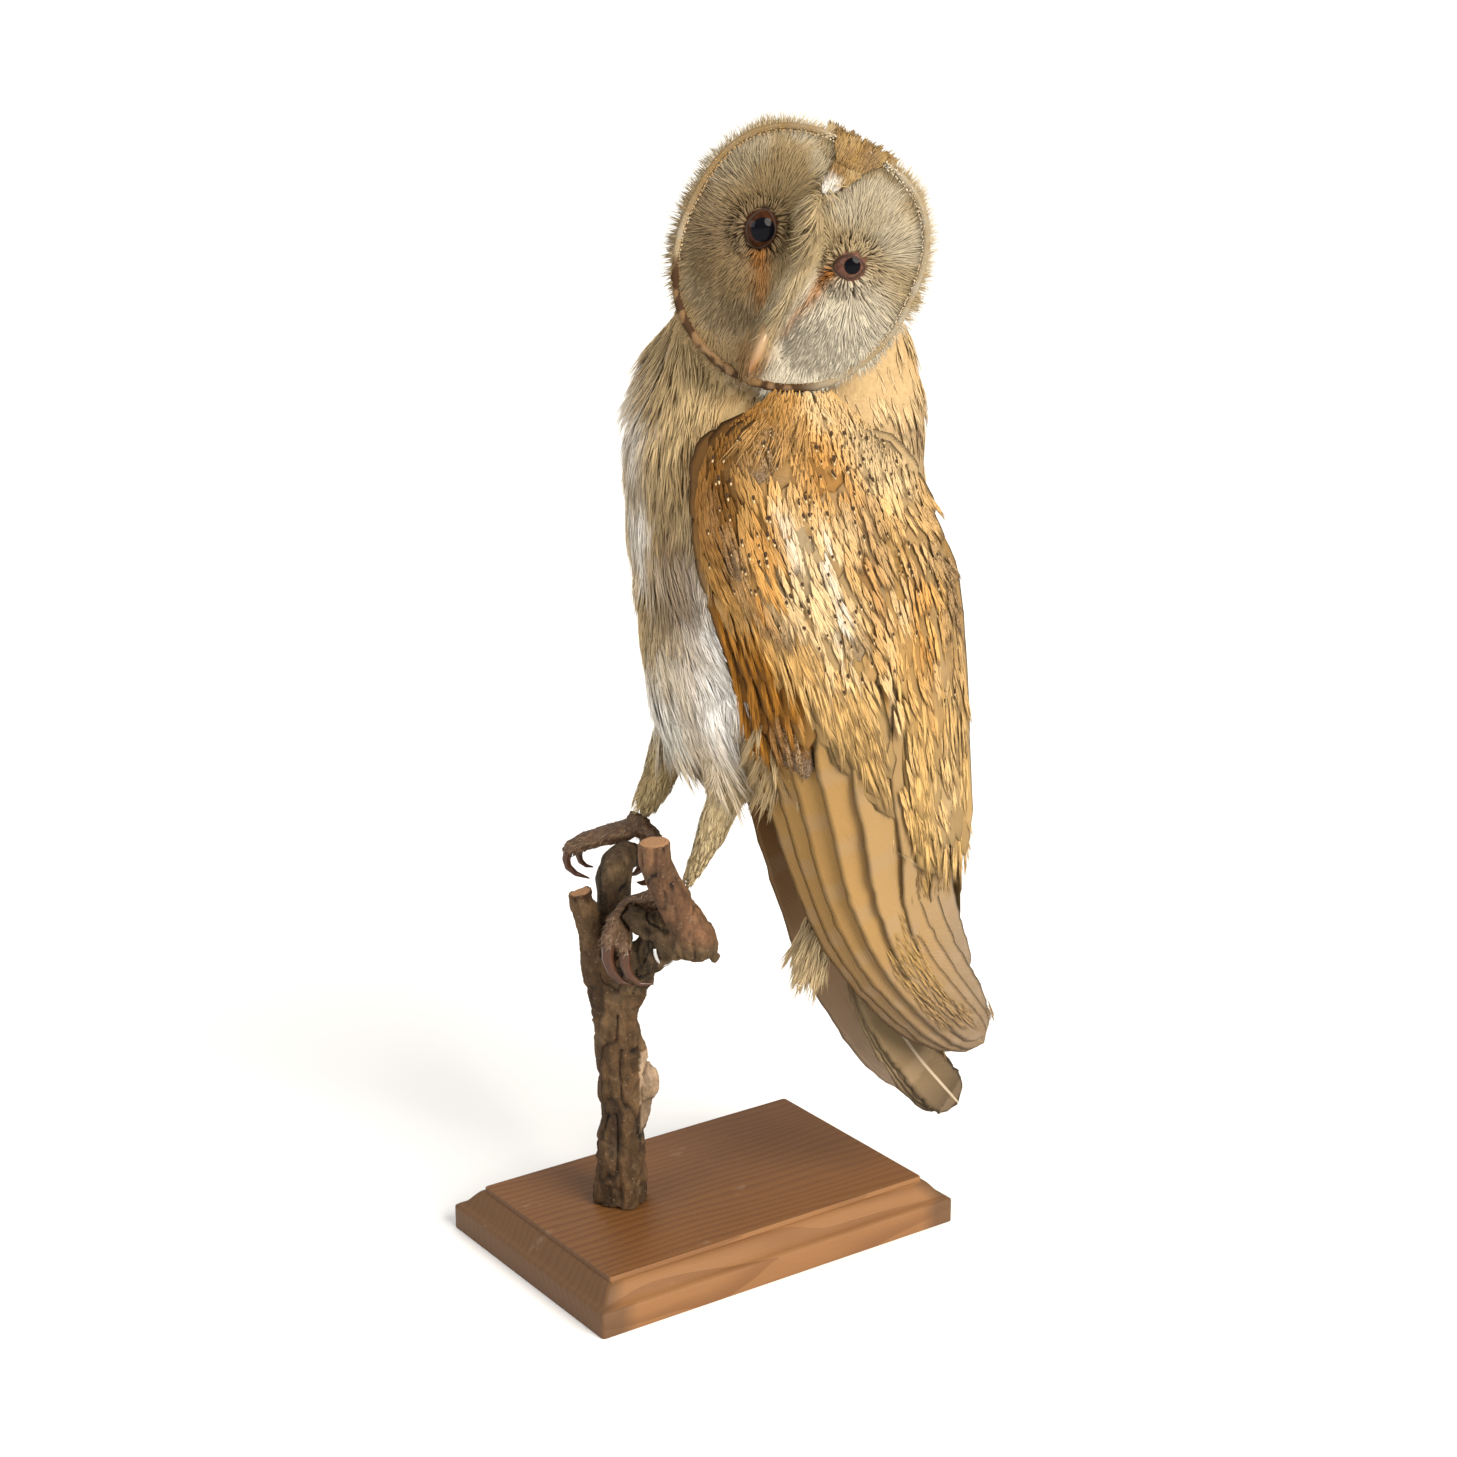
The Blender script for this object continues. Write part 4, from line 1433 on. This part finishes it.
LOBE_ORANGE = np.array([0.38, 0.155, 0.016])
WING_COLOURS = [  # colour, strength, centre along and across, size along and across
    (ORANGE, 0.85, (0.17, 0.08), (0.10, 0.07)),
    (ORANGE, 0.75, (0.12, 0.55), (0.05, 0.16)),
    (ORANGE, 0.75, (0.27, 0.66), (0.09, 0.05)),
    (ORANGE, 0.60, (0.32, 0.83), (0.09, 0.05)),
    (ORANGE, 0.60, (0.22, 0.25), (0.05, 0.08)),
    (ORANGE, 0.80, (0.31, 0.21), (0.05, 0.06)),
    (PALE_GOLD * 1.1, 0.90, (0.25, 0.42), (0.09, 0.09)),
    (WHITE, 0.85, (0.27, 0.51), (0.055, 0.018)),
    (WHITE, 0.50, (0.22, 0.37), (0.04, 0.04)),
    (PALE_GOLD * 1.1, 0.85, (0.38, 0.66), (0.09, 0.05)),
    (ORANGE * 1.1, 0.75, (0.03, 0.27), (0.04, 0.12)),
    (PALE_GOLD * 1.2, 0.85, (0.03, 0.58), (0.04, 0.19)),
    (PALE_GOLD * 1.1, 0.90, (0.09, 0.86), (0.09, 0.14)),
    (PALE_GOLD, 0.60, (0.50, 0.90), (0.09, 0.10)),
    (ORANGE * 0.45, 0.75, (0.23, 0.11), (0.09, 0.05)),
    (ORANGE * 0.6, 0.90, (0.17, 0.0), (0.20, 0.05)),
    (ORANGE * 0.36, 0.97, (0.15, 0.08), (0.09, 0.06)),
    (GOLD * np.array([0.56, 0.48, 0.36]), 0.90, (0.07, 0.18), (0.06, 0.17)),
    (ORANGE * 0.45, 0.85, (0.10, 0.05), (0.12, 0.06)),
    (GOLD * 1.1, 0.80, (0.01, 0.24), (0.035, 0.13)),
    (ORANGE * 0.6, 0.50, (0.08, 0.22), (0.03, 0.10)),
]
WING_CLOUDS = [  # places of fine grey speckling: strength, centre and size
    (0.85, (0.11, 0.27), (0.035, 0.11)),
    (0.40, (0.20, 0.05), (0.04, 0.03)),
    (0.85, (0.26, 0.13), (0.06, 0.045)),
    (0.75, (0.345, 0.27), (0.022, 0.08)),
    (0.75, (0.345, 0.55), (0.03, 0.035)),
    (0.85, (0.27, 0.97), (0.13, 0.055)),
    (0.50, (0.19, 0.72), (0.04, 0.06)),
    (0.90, (0.50, 0.17), (0.03, 0.09)),
]


def lobe_of_wing(along, across):
    """1 on the deep orange lobe of small coverts that hangs from the wrist over the flight feathers."""
    edge = 0.16 + 1.1 * (along - 0.35)
    return ramp(edge - across, -0.015, 0.02) * ramp(along, 0.335, 0.365) * ramp(along, 0.56, 0.53)


def wing_looks(along, across, place):
    """The coverts' colour and their share of grey speckling by place, with wavering edges."""
    a = along + 0.022 * (drift(place, 11.0, 61) - 0.5) * 2
    c = across + 0.045 * (drift(place, 12.0, 62) - 0.5) * 2
    tint = blend(np.tile(GOLD, (len(a), 1)), PALE_GOLD, 0.9 * ramp(drift(place, 17.0, 63), 0.45, 0.8))
    tint = blend(tint, STRAW, ramp(a, 0.34, 0.42))
    for colour, strength, centre, size in WING_COLOURS:
        tint = blend(tint, colour, strength * soft_patch(a, c, centre, size))
    tint = blend(tint, LOBE_ORANGE, lobe_of_wing(a, across) * 0.95)
    tint = tint * (0.80 + 0.34 * drift(place, 8.0, 64))[:, None]
    grey = np.zeros(len(a))
    for strength, centre, size in WING_CLOUDS:
        grey = np.maximum(grey, strength * soft_patch(a, c, centre, size))
    return tint, np.clip(1.25 * grey - 0.15, 0, 1)


def covert_row(tip, place, *rest):
    """A row of coverts with its tips along and across the wing, and its length, width, drift and lifts."""
    return np.stack([tip, place, *np.tile(np.array(rest)[:, None], len(tip))])


def covert_places():
    """Tips of the larger coverts: along, across, length, half width, drift across, lift of root and tip."""
    rows = []
    for row in range(1, 10):  # lesser coverts, from the shoulder
        share = (np.arange(13) + 0.5 * (row % 2)) / 12.5
        tip = 0.10 + 0.028 * row + 0.015 * np.sin(math.pi * share)
        rows.append(covert_row(tip, share, 24.0, 5.6, 0.02, -1.6, -1.0))
    for row in range(5):  # greater coverts, over the roots of the flight feathers
        share = np.linspace(0, 1, 9) + 0.06 * (row % 2)
        tip = 0.39 + 0.135 * share - 0.030 * (4 - row) * (1 - 0.35 * share)
        rows.append(covert_row(tip, 0.14 + 0.46 * share, 38.0, 5.8, 0.07, -1.4, 0.15 - 0.14 * row))
    for row in range(6):  # the long inner feathers along the back
        share = np.linspace(0, 1, 6)
        tip = 0.545 + 0.055 * np.sin(math.pi * (0.15 + 0.75 * share)) - 0.045 * row
        place = 0.985 - 0.25 * share + 0.02 * (row % 2)
        rows.append(covert_row(tip, place, 50.0, 5.6, 0.0, -1.0, 1.2 - 0.3 * row))
    for row in range(5):  # the deep orange lobe at the wrist
        share = np.linspace(0, 1, 5)
        tip = 0.53 - 0.035 * row - 0.02 * share
        edge = 0.16 + 1.1 * (tip - 0.35)
        place = (0.02 + 0.92 * share * (edge - 0.03)) * (1 - 0.25 * (row == 0))
        rows.append(covert_row(tip, place, 26.0, 5.0, 0.03, -0.6, 1.0))
    return np.concatenate(rows, axis=1)


for word, side in SIDES.items():
    tip, across, length, wide, aside, root_lift, tip_lift = covert_places()
    count = len(tip)
    tip = tip + chance.normal(0, 0.004, count)
    across = across + chance.normal(0, 0.008, count)
    length = length * chance.uniform(0.88, 1.12, count)
    t = np.linspace(0, 1, COVERT_ROWS)[None]
    start = (tip - length / WING_SPAN)[:, None]
    ahead = across[:, None] + (aside + chance.normal(0, 0.012, count))[:, None] * (t - 1)
    lift = root_lift[:, None] + (tip_lift - root_lift + chance.uniform(-0.1, 0.3, count))[:, None] * t**1.2
    along = np.maximum(start + (tip[:, None] - start) * t, 0.004 * t)
    centre, out = wing_surface(side, along, np.clip(ahead, 0.0, 1.0), lift)
    half_width = (wide * chance.uniform(0.9, 1.1, count))[:, None] * vane_outline(t)
    tint, clouded = wing_looks(tip - 0.02, across, centre[:, -3])
    soft_tint = varied(tint, 0.88, 1.1)
    tint = soft_tint * 0.56
    browned = 0.35 * ramp(tip, 0.38, 0.44) * ramp(across, 0.75, 0.6) * (1 - lobe_of_wing(tip, across))
    tips = blend(tint * 1.08, GREY_BROWN * 0.8, browned)
    unwrap = wing_unwrap(tip, across)
    lay_vanes(f"wing_coverts_{word}", centre, out, half_width, length, tint, tips, clouded, 0.0,
              unwrap, vane, [f"wing_{word}"])

    soft_tips = blend(soft_tint, GREY_BROWN * 1.2, browned)
    for layer, at in enumerate((2, 4)):
        way = unit(centre[:, at + 2] - centre[:, at])
        hanging = (way[:, 2] < -0.6) & (tip > 0.13)
        place, ahead, above = centre[:, at] + out[:, at] * 0.25, laid(way, out[:, at]), out[:, at]
        loose = [part[hanging] for part in (place, ahead, above, length * (0.80 - 0.22 * layer))]
        fringe = fans(*loose, 0.74, 0.28, 10, rise=0.01, curl=0.85)
        hang_feathers(f"covert_barbs_{word}_{layer}", fringe, unwrap[hanging], soft_tint[hanging],
                      [f"wing_{word}"], soft_tips[hanging], clouded[hanging])

    number = WISP_COUNTS[word]
    along, across = 0.58 * chance.uniform(0, 1, number) ** 1.25, chance.uniform(0.0, 1.0, number)
    top = chance.uniform(0, 1, number) < 0.18
    along[top] = chance.uniform(0, 0.09, top.sum())
    across[top] = chance.uniform(0, 1, top.sum()) ** 0.7
    edge = chance.uniform(0, 1, number) < 0.16
    across[edge] = np.where(across[edge] < 0.6, 0.03, 0.96) + chance.normal(0, 0.03, edge.sum())
    across = np.clip(across, 0.0, 1.0)
    kept = ramp(along, 0.40, 0.28) + ramp(across, 0.62, 0.70) * ramp(along, 0.57, 0.50)
    kept -= 0.9 * lobe_of_wing(along + 0.03, across)
    kept = chance.uniform(0, 1, number) < kept
    along, across, number = along[kept], across[kept], kept.sum()
    place, out = wing_surface(side, along, across, np.zeros(number))
    place = place + out * (-0.5 + 1.5 * drift(place, 11.0, 65))[:, None]
    ahead, _ = wing_surface(side, along + 0.02, across + 0.008, np.zeros(number))
    sway = 0.6 * (drift(place, 15.0, 66) - 0.5) + chance.normal(0, 0.04, number)
    drape = 0.9 * ramp(along, 0.12, 0.05)[:, None] * np.array([0.0, 0.0, -1.0])
    way = laid(unit(ahead - place) + drape, out)
    way = unit(way + np.cross(out, way) * sway[:, None])
    hanging = way[:, 2] < -0.45
    along, across, place, out, way = (part[hanging] for part in (along, across, place, out, way))
    tint, clouded = wing_looks(along + 0.02, across, place)
    tint = varied(tint, 0.9, 1.1)
    long = chance.uniform(12.0, 17.0, len(tint))
    wisps = fans(place, way, out, long, 0.74, 0.28, 9, rise=0.02, curl=0.8)
    hang_feathers(f"wing_wisps_{word}", wisps, wing_unwrap(along, across), tint, [f"wing_{word}"],
                  grey=clouded)

    along = 0.05 + 0.33 * chance.uniform(0, 1, SPOT_COUNT) ** 1.1
    across = chance.uniform(0.03, 0.98, SPOT_COUNT)
    place, out = wing_surface(side, along, across, np.full(SPOT_COUNT, 1.0))
    ahead, _ = wing_surface(side, along + 0.02, across, np.full(SPOT_COUNT, 1.0))
    way = laid(ahead - place, out)
    size = chance.uniform(0.5, 1.0, SPOT_COUNT)
    made = []
    for shift, long, wide, rise in ((0.0, 2.1, 1.3, 0.3), (1.9, 1.7, 0.95, 0.0)):  # dark spots, pale flecks
        start, sway = place + way * (shift * size)[:, None], chance.normal(0, 0.1, SPOT_COUNT)
        points, t = spikes(start, way, out, long * size, wide * size, np.full(SPOT_COUNT, rise), sway, 2)
        made.append(points)
    dot_tint = np.repeat([DARK, PALE_GOLD * 0.9], SPOT_COUNT * len(t), axis=0)
    home = np.tile(wing_unwrap(along, across), (2, 1))
    solid(f"wing_spots_{word}", world(np.concatenate(made)), spike_faces(2 * SPOT_COUNT, 2),
          down, [f"wing_{word}"], maps={"OFBake": spike_unwrap(home, t)},
          paint={"tint": dot_tint})

# ---- flight feathers
# The long stiff feathers of the folded wings: each a thin vane on its shaft, the outer ones under the
# inner ones, straw-gold with faint bars, paler on the trailing side and frayed and greyish at the tips.

FLIGHT_ROWS, FLIGHT_COLUMNS, FRAY_COUNT = 44, 9, 420
FLIGHT_START = 0.38  # where they come out from under the coverts, along the wing
FLIGHT_PLACES = [  # roots across, tips across, tips along, from the outermost primary inwards
    (0.02, 0.07, 0.955), (0.13, 0.22, 0.985), (0.26, 0.38, 1.0), (0.40, 0.56, 0.998), (0.55, 0.70, 0.975),
    (0.71, 0.83, 0.91), (0.87, 0.94, 0.79),
]
FLIGHT_TIP, FAR_FLIGHT_TIP = np.array([0.14, 0.095, 0.055]), np.array([0.60, 0.44, 0.31])


def length_along(line):
    """The length of each of several lines of points."""
    return np.linalg.norm(np.diff(line, axis=1), axis=-1).sum(axis=1)


flight = Finish("flight_vane", Roughness=0.65, Specular_IOR_Level=0.18)
flight_up, flight_far = vane_axes(flight)
flight_noise = flight.noise(flight.place(), 700.0, 4.0, 0.65)
flight_barbs = sine(flight, (flight_up - flight_far * 1.2) * 760.0)
flight_line = flight.step(flight_barbs + flight_noise * 1.8, 0.0, 1.9)
flight_bars = sine(flight, flight_up * 24.0 + flight_noise * 1.2)
flight_colour = flight.mix(flight_line * 0.26, flight.painted("tint"), (0.5, 0.38, 0.26), "MULTIPLY")
flight_colour = flight.mix(flight.step(flight_bars, 0.55, 0.95) * 0.30, flight_colour, (0.34, 0.235, 0.14))
shaft_line = flight.step(flight_far, 0.0060, 0.0035)
pale = flight.painted("shaft", 2)
shaft_colour = flight.mix(pale, (0.34, 0.22, 0.11), (0.50, 0.40, 0.28))
flight_colour = flight.mix(shaft_line * (0.4 + pale * 0.6), flight_colour, shaft_colour)
flight_speck = flight.step(flight.noise(flight.place(), 1400.0, 3.0, 0.75), 0.45, 0.6)
flight_grey = flight.painted("grey", 2) * (0.35 + flight_speck * 0.5)
flight_colour = flight.mix(flight_grey, flight_colour, (0.33, 0.27, 0.215))
flight.give(Base_Color=flight_colour, Roughness=0.5 + flight_noise * 0.25)
flight.bump(flight_line + flight_noise * 0.4, 0.00018)
for word, side in SIDES.items():
    places = np.array(FLIGHT_PLACES)
    if side > 0:
        places[:, 1] += 0.10 * np.linspace(1, 0, len(places))
        places[:, 2] -= 0.03
    count = len(places)
    order = np.arange(count)
    t = np.linspace(0, 1, FLIGHT_ROWS)[None]
    along = FLIGHT_START + (places[:, 2:] - FLIGHT_START) * t
    across = places[:, :1] + (places[:, 1:2] - places[:, :1]) * ramp(t, 0.0, 1.0)
    lift = (-2.4 + 0.26 * order)[:, None] + 0.4 * t + 0.12 * np.sin(t * 9.0 + order[:, None])
    lift = lift * (1 - 0.35 * ramp(t, 0.6, 1.0)) - 0.16 * order[:, None] * ramp(t, 0.55, 0.9)
    centre, out = wing_surface(side, along, across, lift)
    half_width = (10.2 - 0.05 * order)[:, None] * vane_outline(t, tip=0.86, root=0.15)
    half_width = half_width * (1 - 0.22 * ramp(t, 0.5, 1.0))
    tint = blend(np.tile(STRAW, (count, 1)), PALE_GOLD, 0.75 * ramp(order.astype(float), 2.0, 5.0))
    tint = varied(tint * np.array([0.64, 0.58, 0.50]), 0.93, 1.05)
    tips = blend(tint, FLIGHT_TIP, np.full(count, 0.8))
    if side > 0:
        tint = tint * np.array([0.5, 0.40, 0.26])
        tips = blend(tips, FAR_FLIGHT_TIP, np.full(count, 0.95))
    frayed = np.clip(0.3 + 0.05 * order, 0, 0.8)
    unwrap = np.stack([0.05 + 0.9 * places[:, 0], np.full(count, 0.6)], -1)
    lay_vanes(f"flight_feathers_{word}", centre, out, half_width, length_along(centre), tint, tips, frayed,
              0.0, unwrap, flight, [f"wing_{word}_flight"], columns=FLIGHT_COLUMNS,
              thickness=0.35, camber=0.03, ragged=0.03)

    along, across = chance.uniform(0.54, 0.88, FRAY_COUNT), chance.uniform(0.0, 1.0, FRAY_COUNT)
    across = 0.98 - (0.66 - 0.40 * ramp(along, 0.78, 0.56)) * across
    place, out = wing_surface(side, along, across, -1.4 + 0.9 * ramp(along, 0.6, 0.75))
    ahead, _ = wing_surface(side, along + 0.02, across + 0.012, np.full(FRAY_COUNT, -0.9))
    tint = blend(np.tile(STRAW * 0.8, (FRAY_COUNT, 1)), GREY_BROWN * 1.3, ramp(along, 0.72, 0.88) * 0.8)
    long = chance.uniform(8.0, 12.0, FRAY_COUNT)
    fray = fans(place, laid(ahead - place, out), out, long, 0.30, 0.16, 9, rise=-0.02, curl=0.9)
    clouded = 0.5 * ramp(drift(place, 6.0, 68), 0.45, 0.7)
    hang_feathers(f"flight_barbs_{word}", fray, wing_unwrap(along, across), varied(tint, 0.9, 1.1),
                  [f"wing_{word}_flight"], grey=clouded)

# ---- tail
# The narrow closed tail, twisted so that its near edge hangs: grey-olive vanes with pale shafts, darker
# bars and worn tips, the middle feathers on top of the outer ones.

TAIL_STATIONS = np.array([  # x, z, half width
    (61.0, 132.0, 9.0), (64.0, 112.5, 11.5), (71.5, 94.0, 14.0), (83.0, 76.0, 15.5), (93.5, 63.0, 14.0),
    (100.5, 55.0, 9.0),
])
TAIL_TWIST = math.radians(42.0)
TAIL_PLACES = np.array([-1.0, -0.82, -0.62, -0.42, 0.0, 0.05, 0.42, 0.62, 0.82, 1.0])  # feathers, across
TAIL_COUNT, TAIL_ROWS = len(TAIL_PLACES), 36
t = np.linspace(0, 1, TAIL_ROWS)
rows = along_rows(TAIL_STATIONS, t)
axis = np.stack([rows[:, 0], np.full(TAIL_ROWS, MID_PLANE), rows[:, 1]], -1)
way = unit(np.gradient(axis, axis=0))
upward = np.stack([-way[:, 2], np.zeros(TAIL_ROWS), way[:, 0]], -1)
sideways = np.array([0.0, 1.0, 0.0])
wide = math.cos(TAIL_TWIST) * sideways + math.sin(TAIL_TWIST) * upward
tail_out = math.cos(TAIL_TWIST) * upward - math.sin(TAIL_TWIST) * sideways
spread = TAIL_PLACES[:, None] * (rows[:, 2] - 6.0)[None] * 0.85
sunk = 1.6 - 2.6 * TAIL_PLACES[:, None] ** 2
centre = axis[None] + wide[None] * spread[..., None] + tail_out[None] * sunk[..., None]
reach = 1.0 - 0.10 * np.abs(TAIL_PLACES)[:, None]
picked = np.clip(t[None] * reach, 0, 1) * (TAIL_ROWS - 1)
low = np.minimum(picked.astype(int), TAIL_ROWS - 2)
part = (picked - low)[..., None]
index = np.arange(TAIL_COUNT)[:, None]
centre = centre[index, low] * (1 - part) + centre[index, low + 1] * part
out = np.broadcast_to(tail_out[None], centre.shape)
widest = 6.2 + 5.0 * np.exp(-((TAIL_PLACES / 0.35) ** 2))
half_width = widest[:, None] * vane_outline(t[None], tip=0.84, root=0.2)
tail_tint = np.tile([0.29, 0.21, 0.12], (TAIL_COUNT, 1))
tail_tint = blend(tail_tint, STRAW * 0.6, 0.3 * chance.uniform(0, 1, TAIL_COUNT))
tail_tips = blend(tail_tint, np.array([0.025, 0.012, 0.004]), np.full(TAIL_COUNT, 0.95))
unwrap = np.stack([0.5 + 0.4 * TAIL_PLACES, np.full(TAIL_COUNT, 0.2)], -1)
lay_vanes("tail_feathers", centre, out, half_width, length_along(centre), tail_tint, tail_tips,
          np.full(TAIL_COUNT, 0.10), 1.0, unwrap, flight, ["tail"],
          columns=FLIGHT_COLUMNS, thickness=0.45, camber=0.10)

# ---- feet
# Dried scaly grey-brown toes with a few bristles, gripping the two limbs, and long curved claws of
# polished dark reddish horn.

FOOT_VOXEL, CLAW_VOXEL, BRISTLE_COUNT = 0.6, 0.32, 900
FOOT_NODES = ["foot_left", "foot_right"]
foot_points, foot_normals, foot_quads = remeshed(merged_copy(*FOOT_NODES), FOOT_VOXEL, 4)
scale_rows = np.abs(drift(foot_points, 1.5, 71) - 0.5) * 2
pads = drift(foot_points, 3.2, 72)
foot_points = foot_points + foot_normals * (0.45 * (scale_rows - 0.6) + 0.5 * (pads - 0.5))[:, None]
toe_tint = np.tile([0.075, 0.038, 0.018], (len(foot_points), 1))
toe_tint = blend(toe_tint, np.array([0.19, 0.11, 0.06]), scale_rows)
toe_skin = Finish("dry_toe_skin", Roughness=0.6, Specular_IOR_Level=0.35)
toe_fine = toe_skin.noise(toe_skin.place(), 1500.0, 4.0, 0.65)
toe_colour = toe_skin.mix(toe_fine * 0.6, toe_skin.painted("tint"), (0.35, 0.28, 0.22), "MULTIPLY")
toe_skin.give(Base_Color=toe_colour)
toe_skin.bump(toe_fine, 0.0003)
solid("scaly_toes", world(foot_points), [foot_quads], toe_skin, FOOT_NODES,
      paint={"tint": toe_tint})


def toe_tops(points):
    """True on the upper side of the feet."""
    return points[:, 2] > 132


bristle_root, bristle_out = scattered(foot_points, foot_normals, foot_quads, BRISTLE_COUNT, toe_tops)
sweep = np.tile([-0.6, -0.2, -0.6], (BRISTLE_COUNT, 1)) + chance.normal(0, 0.4, (BRISTLE_COUNT, 3))
bristle_along, bristle_long = laid(sweep, bristle_out), chance.uniform(1.5, 3.2, BRISTLE_COUNT)
rise, sway = chance.uniform(0.2, 0.7, BRISTLE_COUNT), chance.normal(0, 0.2, BRISTLE_COUNT)
thick = np.full(BRISTLE_COUNT, 0.22)
bristles, t = spikes(bristle_root, bristle_along, bristle_out, bristle_long, thick, rise, sway)
bristle_tint = varied(np.tile([0.30, 0.22, 0.14], (BRISTLE_COUNT, 1)), 0.7, 1.2)
solid("toe_bristles", world(bristles), spike_faces(BRISTLE_COUNT), down, FOOT_NODES,
      maps={"OFBake": spike_unwrap(body_unwrap(bristle_root), t)},
      paint={"tint": np.repeat(bristle_tint, len(t), axis=0)})

claw_nodes = [f"claw_{word}_{toe}" for word in SIDES for toe in ("middle", "inner", "outer", "hind")]
claw_points, _, claw_quads = remeshed(merged_copy(*claw_nodes), CLAW_VOXEL, 10)
claw = Finish("claw_horn", Roughness=0.34, Specular_IOR_Level=0.3, Coat_Weight=0.12, Coat_Roughness=0.15)
claw_streak = claw.noise(claw.place(stretch=(1.0, 1.0, 0.4)), 800.0, 3.0)
claw.give(Base_Color=claw.mix(claw_streak, (0.028, 0.012, 0.006), (0.085, 0.032, 0.014)))
claw.bump(claw_streak, 0.0001)
solid("claws", world(claw_points), [claw_quads], claw, claw_nodes)
